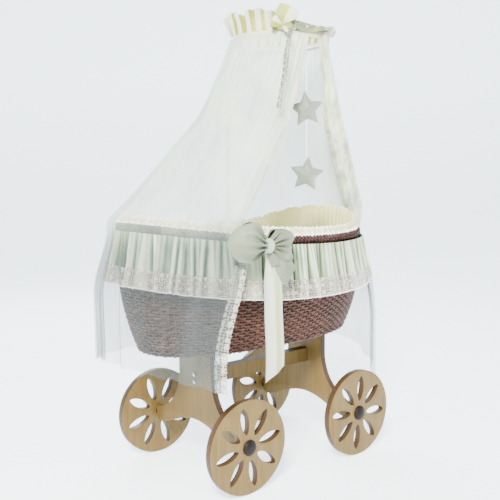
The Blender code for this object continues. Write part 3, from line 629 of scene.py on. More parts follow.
def curve_line(keys, at):
    """Catmull-Rom interpolation through (place, value) keys, flat beyond the ends."""
    if at <= keys[0][0]:
        return keys[0][1]
    if at >= keys[-1][0]:
        return keys[-1][1]
    k = max(index for index in range(len(keys) - 1) if keys[index][0] <= at)
    (x0, y0), (x1, y1) = keys[k], keys[k + 1]
    before = keys[max(k - 1, 0)]
    beyond = keys[min(k + 2, len(keys) - 1)]
    span = x1 - x0
    slope0 = (y1 - before[1]) / (x1 - before[0]) * span
    slope1 = (beyond[1] - y0) / (beyond[0] - x0) * span
    t = (at - x0) / span
    return ((2 * t ** 3 - 3 * t * t + 1) * y0 + (t ** 3 - 2 * t * t + t) * slope0
            + (3 * t * t - 2 * t ** 3) * y1 + (t ** 3 - t * t) * slope1)


def curve_place(keys, at):
    """The same through (place, point) keys."""
    return Vector([curve_line([(start, point[axis]) for start, point in keys], at) for axis in range(3)])


# ---- The basket's oval --------------------------------------------------------------------
def oval(half_x, half_y, angles, power=OVAL_POWER):
    """Points of a superellipse about the basket's centre, as an array."""
    c = np.cos(angles)
    s = np.sin(angles)
    x = BASKET_X + half_x * np.sign(c) * np.abs(c) ** (2.0 / power)
    y = half_y * np.sign(s) * np.abs(s) ** (2.0 / power)
    return np.stack([x, y, np.zeros_like(x)], axis=-1)


def even_angles(count, power=OVAL_POWER):
    """Angles that step evenly along the rim."""
    dense = np.linspace(0.0, math.tau, 4001)
    points = oval(RIM_LENGTH, RIM_WIDTH, dense, power)
    lengths = np.concatenate([[0.0], np.cumsum(np.linalg.norm(np.diff(points, axis=0), axis=1))])
    return np.interp(np.arange(count) * lengths[-1] / count, lengths, dense)


def oval_out(half_x, half_y, angles, power=OVAL_POWER):
    """Unit normals of the superellipse, pointing out."""
    c = np.cos(angles)
    s = np.sin(angles)
    flat = 2.0 * (power - 1.0) / power
    x = np.sign(c) * np.abs(c) ** flat / half_x
    y = np.sign(s) * np.abs(s) ** flat / half_y
    length = np.hypot(x, y)
    return np.stack([x / length, y / length, np.zeros_like(x)], axis=-1)


def rim_height(x):
    reach = (x - BASKET_X) / RIM_LENGTH
    return 0.720 - 0.057 * x + 0.024 * reach * reach


def hem_height(x):
    reach = (x - BASKET_X) / RIM_LENGTH
    return 0.553 - 0.046 * x + 0.031 * reach * reach


def wall_size(share):
    u = 1.0 - share
    half_x = u * u * 0.386 + 2.0 * u * share * 0.456 + share * share * 0.430
    half_y = u * u * 0.190 + 2.0 * u * share * 0.262 + share * share * 0.246
    return half_x, half_y


def wall_points(share, inset, angles, drop=BRAID_RADIUS):
    half_x, half_y = wall_size(share)
    points = oval(half_x - inset, half_y - inset, angles)
    points[:, 2] = BASE_Z + (rim_height(points[:, 0]) - drop - BASE_Z) * share
    return points


# ---- Wicker -------------------------------------------------------------------------------
STAKES = 118
ROWS = 37
WEAVER_HALF = 0.0043
WEAVE_INSET = 0.0062
WEAVER_REACH = 0.004


def make_wicker(looks):
    """Stakes with weavers that pass in front of one and behind the next, row against row."""
    steps = 4
    count = STAKES * steps
    angles = even_angles(count)
    tubes = []
    for row in range(ROWS):
        share = (row + 0.5) / ROWS
        low = wall_points(share - WEAVER_REACH, WEAVE_INSET, angles)
        high = wall_points(share + WEAVER_REACH, WEAVE_INSET, angles)
        centres = (low + high) / 2.0
        along = np.roll(centres, -1, axis=0) - np.roll(centres, 1, axis=0)
        ups = high - low
        ups /= np.linalg.norm(ups, axis=1, keepdims=True)
        outs = np.cross(along, ups)
        outs /= np.linalg.norm(outs, axis=1, keepdims=True)
        phase = math.pi * (np.arange(count) / steps + row)
        thick = 1.0 + 0.12 * math.sin(row * 2.7)
        centres = centres + outs * (0.0031 * np.cos(phase))[:, None]
        centres = centres + ups * (0.0005 * np.sin(phase * 0.37 + row))[:, None]
        tubes.append(tube_parts(centres, outs, ups, 0.0022 * thick, WEAVER_HALF, 6, True))
    add_piece("woven_wall", gather_tubes("woven_wall", tubes), looks["willow"], "basket",
              ["basket_shell"])
    stakes = []
    shares = np.linspace(0.0, 1.0, 14)
    stake_angles = even_angles(STAKES)
    columns = np.array([wall_points(share, WEAVE_INSET, stake_angles) for share in shares])
    outs = oval_out(RIM_LENGTH, RIM_WIDTH, stake_angles)
    for k in range(STAKES):
        path = columns[:, k]
        sides = np.cross(outs[k], np.gradient(path, axis=0))
        sides /= np.linalg.norm(sides, axis=1, keepdims=True)
        out = np.broadcast_to(outs[k], path.shape)
        stakes.append(tube_parts(path, out, sides, 0.0024, 0.0028, 6, False))
    add_piece("wicker_stakes", gather_tubes("wicker_stakes", stakes), looks["willow"], "basket")
    # A near-black sheet between the weave and the lining: painted shade that shows through the gaps between
    # the rods.
    shade_sheet = [wall_points(share, 0.0098, even_angles(160)) for share in np.linspace(0.0, 1.0, 12)]
    inner = [wall_points(share, 0.0112, even_angles(160)) for share in np.linspace(1.0, 0.0, 12)]
    data = grid_mesh("weave_gap_shade", shade_sheet + inner + shade_sheet[:1], True)
    add_piece("weave_gap_shade", data, looks["under"], "basket")
    make_base_border(looks)


def make_base_border(looks):
    """Twisted border of two rods where the wall meets the base."""
    count = 420
    angles = even_angles(count)
    base = wall_points(0.012, 0.0045, angles)
    outs = oval_out(RIM_LENGTH, RIM_WIDTH, angles)
    ups = upward(base)
    tubes = []
    for strand in range(2):
        turn = np.arange(count) * math.tau / 12.0 + strand * math.pi
        path = base + outs * (0.0024 * np.cos(turn))[:, None]
        path = path + ups * (0.0026 * np.sin(turn) + 0.0035)[:, None]
        tubes.append(tube_parts(path, outs, ups, 0.0030, 0.0030, 6, True))
    add_piece("base_border", gather_tubes("base_border", tubes), looks["braid"], "basket")


BRAID_WAVES = 50
BRAID_STEPS = 14
STRAND_SWING = 0.0078
STRAND_LIFT = 0.0042


def make_braid(looks):
    """Plaited rim: three strands, each of two rods side by side."""
    count = BRAID_WAVES * BRAID_STEPS
    angles = even_angles(count)
    base = oval(RIM_LENGTH, RIM_WIDTH, angles)
    base[:, 2] = rim_height(base[:, 0])
    outs = oval_out(RIM_LENGTH, RIM_WIDTH, angles)
    ups = upward(base)
    tubes = []
    for strand in range(3):
        turn = np.arange(count) * math.tau / BRAID_STEPS + strand * math.tau / 3.0
        for rod in (-1, 1):
            swing = STRAND_SWING * np.sin(turn)
            lift = STRAND_LIFT * np.sin(2.0 * turn) + rod * 0.0034
            path = base + ups * (swing + rod * 0.0022)[:, None] + outs * (lift + 0.001)[:, None]
            tubes.append(tube_parts(path, outs, ups, 0.0044, 0.0042, 6, True))
    tubes.append(tube_parts(base, outs, ups, 0.0075, 0.0085, 8, True))
    add_piece("plaited_rim", gather_tubes("plaited_rim", tubes), looks["braid"], "basket",
              ["rim_braid"])


# ---- Lining and bedding -------------------------------------------------------------------
EDGE_HALF = (0.406, 0.222)
FRILL_HALF = (0.412, 0.228)
EDGE_FOOT = 0.020


def bumper_height(x, y):
    """How far the padded edge stands above the rim: most at its right end and rear side."""
    along = smooth_step(0.10, 0.36, x)
    across = mix(0.15, 1.0, smooth_step(-0.20, 0.02, y))
    return 0.030 + 0.048 * along * across


QUILT_ROUND = 40.0
QUILT_UP = 9.0
QUILT_PUFF = 0.0075
QUILT_INSET = 0.0068
QUILT_THICK = 0.0030


def make_lining(looks):
    """Quilted wall of the lining: soft diamonds between lines of stitching, painted darker towards the
    stitching as painted shade.
    """
    count = 640
    angles = even_angles(count)
    outs = oval_out(RIM_LENGTH, RIM_WIDTH, angles)
    rows = []
    puffs = []
    backs = []
    levels = 84
    for k in range(levels):
        share = mix(0.045, 0.998, k / (levels - 1))
        points = wall_points(share, WALL + QUILT_INSET, angles, 0.0146)
        u = np.arange(count) * QUILT_ROUND / count * math.pi
        v = share * QUILT_UP * math.pi
        puff = np.abs(np.sin(u + v) * np.sin(u - v)) ** 0.5
        tight = 1.0 - smooth_step(0.80, 0.96, share)
        rows.append(points - outs * (QUILT_PUFF * puff * tight)[:, None])
        # these puff values paint shade into the stitch lines
        puffs.append(np.clip(1.3 * puff, 0.0, 1.0))
        backs.append(points + outs * QUILT_THICK)
    backs = backs[::-1]
    data = grid_mesh("lining_quilt", rows + backs + rows[:1], True)
    puffs += puffs[::-1] + puffs[:1]
    keep_values(data, "fold", np.concatenate(puffs))
    lining = add_piece("lining_quilt", data, looks["stitched"], "basket", ["lining"])


def make_bumper(looks):
    """Puffed edge that stands above the rim, drawn into small gathers, with piping along its top."""
    count = 720
    angles = even_angles(count)
    base = oval(*EDGE_HALF, angles)
    outs = oval_out(*EDGE_HALF, angles)
    foot = rim_height(base[:, 0]) - EDGE_FOOT
    tall = np.array([bumper_height(x, y) for x, y, _ in base]) + EDGE_FOOT
    step = steps_round(count)
    gather = 1.7 * np.sin(step * 96 + 2.0 * np.sin(step * 7))
    puff = np.abs(np.sin(step * 15)) ** 0.6
    tall = tall + 0.007 * (puff - 0.6)
    rows = []
    sections = 18
    for k in range(sections):
        turn = math.tau * k / sections
        swell = 0.0036 + 0.0018 * np.sin(np.clip((1.0 - math.cos(turn)) / 2.0, 0.0, 1.0) * math.pi)
        level = (1.0 - math.cos(turn)) / 2.0
        side = math.sin(turn)
        lean = 0.009 * level
        wobble = 0.0013 * gather * abs(side) ** 0.5 * (1.2 - level)
        away = side * (swell + 0.0045 * puff * level) + lean + np.sign(side) * wobble
        points = base + outs * away[:, None]
        points[:, 2] = foot + tall * level + 0.0012 * gather * level
        rows.append(points)
    data = grid_mesh("lining_edge", rows + rows[:1], True)
    edge = add_piece("lining_edge", data, looks["quilt"], "basket", ["lining_bumper"])
    top = base + outs * 0.0085
    top[:, 2] = foot + tall + 0.0012 * gather + 0.0006
    ups = upward(base)
    piping = gather_tubes("edge_piping", [tube_parts(top, outs, ups, 0.0017, 0.0017, 8, True)])
    add_piece("edge_piping", piping, looks["cream"], "basket")
    make_edge_lace(looks)


def make_edge_lace(looks):
    """Crocheted frill that stands round the padded edge and falls a little over the braid."""
    count = 1800
    angles = even_angles(count)
    base = oval(*FRILL_HALF, angles)
    outs = oval_out(*FRILL_HALF, angles)
    step = steps_round(count)
    wave = np.sin(step * 86 + 1.5 * np.sin(step * 9)) + 0.45 * np.sin(step * 173 + 1.0)
    rows = []
    levels = 15
    for k in range(levels):
        share = k / (levels - 1)
        spread = mix(0.0120, 0.0022, smooth_step(0.0, 0.6, share)) + 0.0012 * math.sin(share * 9.0)
        loose = mix(1.0, 0.35, share)
        points = base + outs * (spread + 0.0034 * loose * wave)[:, None]
        scallop = 0.0045 * np.abs(np.sin(step * 60)) * share ** 3
        points[:, 2] = rim_height(points[:, 0]) + mix(0.0100, 0.0400, share) + 0.0024 * loose * wave - scallop
        rows.append(points)
    data = grid_mesh("edge_lace", rows, True)
    lace = add_piece("edge_lace", data, looks["crochet"], "basket")


def soft_block(half, cut, plan=3.0, edge=2.2):
    """Closed rounded cushion shape about its own centre."""
    verts = []
    faces = []
    around = 64
    levels = 18
    for k in range(levels + 1):
        lift = math.sin(math.pi * (k / levels - 0.5))
        size = max(0.02, (1.0 - abs(lift) ** edge)) ** (1.0 / edge)
        for j in range(around):
            angle = math.tau * j / around
            c = math.cos(angle)
            s = math.sin(angle)
            x = half[0] * size * math.copysign(abs(c) ** (2.0 / plan), c)
            y = half[1] * size * math.copysign(abs(s) ** (2.0 / plan), s)
            verts.append((x, y, half[2] * lift * cut))
    for k in range(levels):
        for j in range(around):
            after = (j + 1) % around
            faces.append((k * around + j, k * around + after, (k + 1) * around + after, (k + 1) * around + j))
    faces.append(tuple(range(around - 1, -1, -1)))
    faces.append(tuple(levels * around + j for j in range(around)))
    return verts, faces


PUFF_FRAMES = 20


def inflate(data, voxel, cap, pressure=4.0):
    """Remesh a closed shape and let air pressure puff it, each point moving no further than cap."""
    piece = linked("inflating", data)
    remesh = piece.modifiers.new("remesh", "REMESH")
    remesh.mode = "VOXEL"
    remesh.voxel_size = voxel
    graph = bpy.context.evaluated_depsgraph_get()
    even = bpy.data.meshes.new_from_object(piece.evaluated_get(graph))
    piece.modifiers.remove(remesh)
    piece.data = even
    rest = np.array([v.co for v in even.vertices])
    cloth = piece.modifiers.new("cloth", "CLOTH")
    cloth.settings.use_pressure = True
    cloth.settings.uniform_pressure_force = pressure
    cloth.settings.tension_stiffness = 18.0
    cloth.settings.compression_stiffness = 14.0
    cloth.settings.bending_stiffness = 0.6
    cloth.settings.effector_weights.gravity = 0.0
    cloth.point_cache.frame_start = 1
    cloth.point_cache.frame_end = PUFF_FRAMES
    for step in range(1, PUFF_FRAMES + 1):
        bpy.context.scene.frame_set(step)
    graph = bpy.context.evaluated_depsgraph_get()
    puffed = bpy.data.meshes.new_from_object(piece.evaluated_get(graph))
    bpy.context.scene.frame_set(1)
    moved = np.array([v.co for v in puffed.vertices])
    if len(moved) == len(rest):
        shift = moved - rest
        length = np.linalg.norm(shift, axis=1, keepdims=True)
        shift *= np.minimum(1.0, cap / np.maximum(length, 1e-9))
        puffed.vertices.foreach_set("co", (rest + shift).astype(np.float32).ravel())
        even = puffed
    bpy.data.objects.remove(piece, do_unlink=True)
    return even


# share of the mattress's height, and how far in from its side
PAD_PROFILE = ((0.0, 0.012), (0.0, 0.004), (0.15, 0.0), (0.5, 0.0012), (0.85, 0.0), (1.0, 0.005),
               (1.0, 0.016))


def make_bedding(looks):
    low, high = local_box("mattress")
    size = (high - low) / 2.0
    middle = (high + low) / 2.0
    around = 240
    angles = even_angles(around)
    rows = []
    for lift, inset in PAD_PROFILE:
        points = oval(size.x - inset, size.y - inset, angles)
        points[:, 2] = mix(low.z, high.z - 0.001, lift)
        rows.append(points)
    centre = np.repeat(np.array([[middle.x, 0.0, high.z - 0.001]]), around, axis=0)
    rows.append(mix(rows[-1], centre, 0.6) + np.array([0.0, 0.0, 0.0008]))
    rows.append(mix(rows[-2], centre, 0.97))
    floor = mix(rows[0], np.repeat(np.array([[middle.x, 0.0, low.z]]), around, axis=0), 0.97)
    data = grid_mesh("mattress_pad", [floor] + rows, True)
    mend(data, holes=True)
    pad = add_piece("mattress_pad", data, looks["white"], "basket", ["mattress"])
    low, high = local_box("pillow")
    half = (high - low) / 2.0
    verts, faces = soft_block((half.x * 0.92, half.y * 0.92, half.z * 0.62), 1.0, 3.4, 1.7)
    data = inflate(mesh_of("pillow", verts, faces), 0.006, 0.010)
    data.transform(Matrix.Translation((high + low) / 2.0))
    pillow = add_piece("head_pillow", data, looks["white"], "basket", ["pillow"], 1)
    make_duvet(looks)


CHANNEL_STEP = 0.085
CHANNEL_PULL = 0.006
RUMPLE = 0.004


def make_duvet(looks):
    """Heaped duvet: tall at the rear end, with sewn channels pulled in across it."""
    low, high = local_box("duvet")
    half = (high - low) / 2.0
    middle = (high + low) / 2.0
    verts, faces = soft_block((half.x * 0.95, half.y * 0.94, 1.0), 1.0, 2.6, 2.6)
    shaped = []
    for x, y, z in verts:
        top = mix(0.612, high.z + 0.002, smooth_step(-0.08, 0.24, x + middle.x))
        shaped.append((x, y, mix(low.z + 0.006, top - 0.008, (z + 1.0) / 2.0) - middle.z))
    data = inflate(mesh_of("duvet", shaped, faces), 0.0065, 0.010)
    for vertex in data.vertices:
        channel = abs(math.sin((vertex.co.x + 0.02) * math.pi / CHANNEL_STEP))
        pull = CHANNEL_PULL * (1.0 - channel) ** 3
        rumple = RUMPLE * noise.noise(vertex.co * 16.0)
        outward = Vector((0.2 * vertex.co.x, vertex.co.y, vertex.co.z + 0.02)).normalized()
        vertex.co += outward * (rumple - pull)
    data.transform(Matrix.Translation(middle))
    duvet = add_piece("rear_duvet", data, looks["cream"], "basket", ["duvet"], 1)


# ---- Skirt --------------------------------------------------------------------------------
SKIRT_TOP = (0.4425, 0.2585)
SKIRT_HEM = (0.4715, 0.2775)
FINE_FOLDS = 146
FINE_SEED = 2.1
SCALLOPS = 186
SCALLOP_DEPTH = 0.0040
SCALLOP_LIFT = 0.0015
LACE_FROM = 0.66


def fold_wave(step, folds, seed):
    """Uneven gathers: a wave whose spacing and depth drift along the cloth."""
    drift = 1.9 * np.sin(step * 5 + seed) + 1.3 * np.sin(step * 11 + 2.0 * seed)
    drift = drift + 0.8 * np.sin(step * 23 + seed)
    depth = 0.75 + 0.25 * np.sin(step * 7 + 3.0 * seed)
    main = np.sin(step * folds + drift)
    return depth * (main + 0.30 * np.sin(2.0 * (step * folds + drift) + 0.8))


def skirt_points(share, angles, step, out_more=0.0):
    """One row of the skirt: fine gathers under the braid that open into wide flutes at the hem."""
    half_x, half_y = (mix(top, hem, share) + out_more for top, hem in zip(SKIRT_TOP, SKIRT_HEM))
    points = oval(half_x, half_y, angles)
    outs = oval_out(half_x, half_y, angles)
    wide = flute_wave(slanted(step, share))
    fine = fold_wave(slanted(step, share), FINE_FOLDS, FINE_SEED)
    deep = mix(0.0012, 0.0115, share ** 0.75)
    shallow = mix(0.0024, 0.0009, share ** 0.6)
    points = points + outs * (deep * wide + shallow * fine)[:, None]
    top = rim_height(points[:, 0]) - 0.0115
    low = hem_height(points[:, 0]) + 0.0018 * wide
    points[:, 2] = mix(top, low, share)
    return points


def slanted(step, share):
    """Folds lean this way and that, and meet in pairs on their way down."""
    lean = 0.020 * np.sin(step * 23 + 0.5) + 0.013 * np.sin(step * 41 + 2.0) + 0.010 * np.sin(step * 9)
    return step + lean * share


def flute_wave(step):
    """Wide rounded ridges with narrow valleys between them."""
    drift = 2.2 * np.sin(step * 3 + 0.7) + 1.4 * np.sin(step * 8 + 1.9) + 0.8 * np.sin(step * 17)
    drift = 1.7 * drift + 0.9 * np.sin(step * 29 + 0.4)
    turn = (step * 60 + drift) / 2.0
    depth = 0.66 + 0.34 * np.sin(step * 19 + 1.0) * np.cos(step * 7)
    return depth * (2.0 * np.abs(np.sin(turn)) ** 1.15 - 1.0)


def fold_values(data, rows, step):
    """Keep on each point how far out of its valley the cloth is, from 0 to 1; the materials paint shade into
    the valleys from it.
    """
    values = []
    for share in rows:
        wide = flute_wave(slanted(step, share))
        fine = fold_wave(slanted(step, share), FINE_FOLDS, FINE_SEED)
        out = wide * mix(0.40, 1.0, share ** 0.6) + fine * mix(0.50, 0.16, share ** 0.6)
        values.append(np.clip(0.46 + 0.5 * out, 0.0, 1.0))
    keep_values(data, "fold", np.concatenate(values))


def make_skirt(looks):
    count = 1860
    angles = even_angles(count)
    step = steps_round(count)
    shares = np.linspace(0.0, LACE_FROM + 0.03, 20)
    data = grid_mesh("gathered_skirt", [skirt_points(share, angles, step) for share in shares], True)
    fold_values(data, shares, step)
    skirt = add_piece("gathered_skirt", data, looks["skirt"], "basket", ["skirt"])
    rows = []
    shares = np.linspace(LACE_FROM, 1.0, 13)
    for share in shares:
        points = skirt_points(share, angles, step, 0.0009)
        scallop = np.abs(np.sin(step * SCALLOPS)) * SCALLOP_DEPTH
        points[:, 2] -= scallop * smooth_step(0.93, 1.0, share) - SCALLOP_LIFT
        rows.append(points)
    data = grid_mesh("skirt_lace_hem", rows, True)
    fold_values(data, shares, step)
    hem = add_piece("skirt_lace_hem", data, looks["skirt_lace"], "basket")
    edge = skirt_points(1.0, angles, step, 0.0014)
    edge[:, 2] -= np.abs(np.sin(step * SCALLOPS)) * SCALLOP_DEPTH - SCALLOP_LIFT
    outs = oval_out(*SKIRT_HEM, angles)
    ups = upward(edge)
    cord = gather_tubes("hem_stitching", [tube_parts(edge, outs, ups, 0.0011, 0.0013, 6, True)])
    add_piece("hem_stitching", cord, looks["white"], "basket")


# ---- Side bow -----------------------------------------------------------------------------
BOW_PLACE = Vector((-0.226, -0.315, 0.724))
# share of the way down, and the place of the ribbon's middle
LONG_TAIL = ((0.0, (-0.222, -0.317, 0.712)), (0.25, (-0.203, -0.318, 0.625)), (0.55, (-0.196, -0.315, 0.520)),
             (0.80, (-0.195, -0.318, 0.430)), (1.0, (-0.199, -0.320, 0.345)))
SHORT_TAIL = ((0.0, (-0.216, -0.322, 0.716)), (0.35, (-0.186, -0.330, 0.680)), (0.7, (-0.158, -0.330, 0.650)),
              (1.0, (-0.140, -0.327, 0.624)))


def bow_loop(side, length, half_width, depth, tilt, seed, point_in=0.0):
    """Ribbon loop that leaves the knot in front, turns over at its far end and comes back behind.

    point_in draws the far end in to a point.
    """
    around = 74
    across = 49
    turn = Matrix.Rotation(tilt, 4, "Y")
    rows = []
    for k in range(around):
        t = k / (around - 1)
        out = math.sin(math.pi * t) ** 0.72
        row = []
        for j in range(across):
            v = across_at(j, across)
            reach = length * out * (1.0 - mix(0.34, 0.55, point_in) * abs(v) ** 2.2)
            open_share = smooth_step(0.0, 0.62, out)
            narrow = 1.0 - mix(0.10, 0.45, point_in) * smooth_step(0.6, 1.0, out)
            half = mix(0.011, half_width, open_share) * narrow
            pleat = math.cos(12.0 * v + seed) * 0.0085 * (1.0 - smooth_step(0.05, 0.98, out)) ** 0.8
            crease = math.sin(5.2 * v + 6.0 * out + seed) * 0.0044 * open_share * (1.0 - 0.6 * out)
            swell = math.sin(math.pi * min(1.0, out * 0.97)) ** 0.6
            puff = depth * math.cos(math.pi * t) * (1.0 - 0.62 * v * v) * (0.25 + 0.75 * swell)
            z = half * v + 0.005 * math.sin(3.0 * out + seed) * open_share
            row.append(tuple(BOW_PLACE + turn @ Vector((side * reach, -puff - pleat - crease, z))))
        rows.append(row)
    return np.array(rows)


def make_knot(name, centre, axes, half, shape, counts, look, node_name):
    """Knot of pleated cloth; half holds its half sizes along the two axes and up.

    shape is how much it closes at its ends, its least radius, and the number and depth of its pleats.
    """
    side, out = axes
    closing, least, pleats, depth = shape
    sections, around = counts
    rows = []
    for k in range(sections):
        lift = math.sin(math.pi * (k / (sections - 1) - 0.5))
        size = math.sqrt(max(least, 1.0 - lift * lift * closing))
        row = []
        for j in range(around):
            angle = math.tau * j / around
            reach = size * (1.0 + depth * math.cos(pleats * angle))
            spot = centre + side * (half[0] * reach * math.cos(angle))
            spot = spot + out * (half[1] * reach * math.sin(angle))
            row.append(tuple(spot + Vector((0.0, 0.0, half[2] * lift))))
        rows.append(row)
    data = grid_mesh(name, rows, True)
    mend(data, holes=True)
    add_piece(name, data, look, "basket", [node_name], 1)


def make_bow(looks):
    loops = (("bow_left", -1, 0.130, 0.055, 0.034, 0.14, 0.4, 0.0, ["bow_loop_left"]),
             ("bow_right", 1, 0.106, 0.036, 0.032, -0.22, 2.0, 0.0, ["bow_loop_right"]),
             ("bow_petal", 1, 0.110, 0.043, 0.028, 0.38, 3.1, 0.7, []))
    for name, side, length, half, depth, tilt, seed, point_in, replaced in loops:
        rows = bow_loop(side, length, half, depth, tilt, seed, point_in)
        piece = add_piece(name, grid_mesh(name, rows), looks["bow"], "basket", replaced, 1)
    axes = (Vector((1.0, 0.0, 0.0)), Vector((0.0, 1.0, 0.0)))
    make_knot("bow_centre", BOW_PLACE + Vector((0.0, -0.012, 0.0)), axes,
              (0.0165, 0.019, 0.019), (0.82, 0.05, 9, 0.06), (25, 48), looks["knot"],
              "bow_knot")
    make_tail("bow_tail_a", LONG_TAIL, (1.0, -0.10, 0.05), 0.032, 0.010, looks["tail"], "bow_tail_long", 0.0)
    make_tail("bow_tail_b", SHORT_TAIL, (0.72, -0.1, 0.66), 0.028, 0.010, looks["bow"], "bow_tail_short", 1.4)


def make_tail(name, keys, across, half, pinch, look, node_name, seed):
    """Ribbon end: pinched at the knot, opening out, with soft lengthways folds and a slanted cut."""
    side = Vector(across).normalized()
    rows = []
    levels = 46
    width = 17
    for k in range(levels):
        t = k / (levels - 1)
        centre = curve_place(keys, t)
        span = mix(pinch, half, smooth_step(0.0, 0.30, t))
        row = []
        for j in range(width):
            v = across_at(j, width)
            fold = 0.006 * math.sin(3.6 * v + seed + 1.2 * t) * (0.35 + 0.65 * (1.0 - t))
            point = centre + side * (span * v) + Vector((0.0, -1.0, 0.0)) * fold
            if t > 0.9:
                point.z += 0.18 * (t - 0.9) * (1.0 + v)
            row.append(tuple(point))
        rows.append(row)
    tail = add_piece(name, grid_mesh(name, rows), look, "basket", [node_name])


# ---- Veil ---------------------------------------------------------------------------------
# height, and the share of the way from the ring out to the rim: hanging free, and over the pole
FREE_REACH = ((0.79, 1.0), (0.825, 0.905), (0.86, 0.82), (0.92, 0.685), (1.00, 0.515), (1.08, 0.335),
              (1.16, 0.215), (VEIL_TOP_Z, 0.0))
POLE_REACH = ((1.20, 1.0), (1.26, 0.92), (1.305, 0.78), (1.334, 0.46), (VEIL_TOP_Z, 0.0))
# share of the way round from the near edge to the far edge, and the hem's height
HEM_LINE = ((0.0, 0.343), (0.10, 0.375), (0.25, 0.392), (0.50, 0.356), (0.80, 0.345), (0.92, 0.300),
            (1.0, 0.210))


def veil_reach(share, height):
    near_pole = hump(share - POLE_SHARE, 0.045)
    return mix(curve_line(FREE_REACH, height), curve_line(POLE_REACH, height), near_pole)


def veil_foot(share, height):
    drop = 1.0 - smooth_step(0.40, 0.75, height)
    flare = 1.0 - smooth_step(0.575, 0.77, height)
    front_left = hump(share, 0.14)
    rear_left = hump(1.0 - share, 0.18)
    angle = math.radians(mix(-118.0, -367.0, share) - drop * (13.0 * front_left + 19.0 * rear_left))
    near_pole = hump(share - POLE_SHARE, 0.06)
    wide = mix(VEIL_RIM_WIDTH, VEIL_WIDTH, flare) * (1.0 + front_left * mix(0.115, 0.27, drop))
    point = oval(mix(VEIL_RIM_LENGTH, VEIL_LENGTH, flare), wide, np.array([angle]))[0]
    return Vector((point[0], point[1] + mix(0.054, 0.026, flare) * near_pole, 0.0))


def veil_ring_angle(share):
    foot = veil_foot(share, 1.0)
    angle = math.atan2(foot.y, foot.x - RING_X)
    if angle > 0.0:
        angle -= math.tau
    if share > 0.9 and angle > -math.pi:
        angle -= math.tau
    ahead = math.radians(50.0) * max(0.0, 1.0 - share / 0.35) ** 2
    behind = math.radians(72.0) * max(0.0, (share - 0.65) / 0.35) ** 2
    return angle + ahead - behind


def veil_surface(share, down):
    """Point of the smooth veil, and its outward direction in plan."""
    height = mix(VEIL_TOP_Z, curve_line(HEM_LINE, share), down)
    reach = veil_reach(share, height)
    angle = veil_ring_angle(share)
    foot = veil_foot(share, height)
    x = mix(RING_X + VEIL_TOP_RADIUS * math.cos(angle), foot.x, reach)
    y = mix(VEIL_TOP_RADIUS * math.sin(angle), foot.y, reach)
    out = Vector((x - mix(RING_X, BASKET_X, reach), y * mix(1.0, 1.9, reach), 0.0)).normalized()
    return Vector((x, y, height)), out


def veil_folds(share, down):
    """Depth of the hanging folds: fine at the ring, broad and deep towards the hem."""
    turn = share * math.tau
    broad = math.sin(turn * 17 + 2.0 * math.sin(turn * 3)) + 0.5 * math.sin(turn * 29 + 1.0)
    fine = math.sin(turn * 61 + 1.5 * math.sin(turn * 5)) + 0.5 * math.sin(turn * 97 + 2.0)
    calm = 1.0 - 0.75 * hump(share - POLE_SHARE, 0.07)
    drawn = 1.0 + 0.8 * hump(share, 0.08)
    return calm * drawn * (mix(0.0004, 0.0080, smooth_step(0.02, 0.75, down)) * broad
                           + mix(0.0018, 0.0005, smooth_step(0.0, 0.4, down)) * fine)


def veil_cover(share, down):
    """How much the net hides: most at the ring and where the two curtain edges are drawn together."""
    near = hump(share, 0.075) * mix(1.0, 0.35, smooth_step(0.55, 0.75, down))
    rear = hump(1.0 - share, 0.085) * mix(1.0, 0.20, smooth_step(0.62, 0.85, down))
    return min(0.97, mix(0.58, 0.30, smooth_step(0.2, 0.62, down)) + 0.26 * near + 0.46 * rear)


VEIL_COLUMNS = 620


def make_veil(looks):
    downs = [0.0, 0.006, 0.014] + list(np.linspace(0.025, 1.0, 64))
    rows = []
    gather = []
    low = []
    for down in downs:
        row = []
        for k in range(VEIL_COLUMNS):
            share = k / (VEIL_COLUMNS - 1)
            point, out = veil_surface(share, down)
            spare = 0.005 * smooth_step(0.3, 0.9, down)
            point += out * (veil_folds(share, down) + spare)
            row.append(tuple(point))
            gather.append(veil_cover(share, down))
            # marks the low part of the net, which the tulle paints dark as painted shade
            low.append(1.0 - smooth_step(0.71, 0.81, point.z))
        rows.append(row)
    data = grid_mesh("veil", rows)
    keep_values(data, "gather", gather)
    keep_values(data, "low", low)
    veil = add_piece("veil", data, looks["tulle"], "basket",
                     ["veil_front", "veil_back", "veil_rear"])
    make_veil_lace(looks)
    make_drape("rear_curtain_edge", 1.0, 0.62, 0.026, 0.006, looks)
    make_drape("near_curtain_edge", 0.0, 0.60, 0.011, -0.012, looks)


DRAPE_WIDE = Vector((0.762, -0.647, 0.0))
DRAPE_DEEP = Vector((0.647, 0.762, 0.0))
DRAPE_THICK = 0.42


def make_drape(name, share, reach, half, shift, looks):
    """One drawn edge of the curtain: a flat bunch of pleats from the ring down to the rim.

    reach is how far down the veil it goes, and shift how far it lies past the veil's own edge.
    """
    levels = 90
    around = 72
    turns = steps_round(around)
    rows = []
    for k in range(levels):
        t = k / (levels - 1)
        point, out = veil_surface(share, mix(0.004, reach, t))
        size = mix(0.45, 1.0, smooth_step(0.0, 0.45, t)) * mix(1.0, 0.14, smooth_step(0.74, 1.0, t))
        point += out * 0.004 + DRAPE_WIDE * shift
        row = []
        for turn in turns:
            pleat = 1.0 + 0.20 * math.cos(9.0 * turn + 2.2 * math.sin(3.0 * t))
            pleat += 0.10 * math.cos(17.0 * turn + 4.0 * t)
            spot = point + DRAPE_WIDE * (half * size * pleat * math.cos(turn))
            row.append(tuple(spot + DRAPE_DEEP * (DRAPE_THICK * half * size * pleat * math.sin(turn))))
        rows.append(row)
    drape = add_piece(name, grid_mesh(name, rows, True), looks["drape"], "basket")


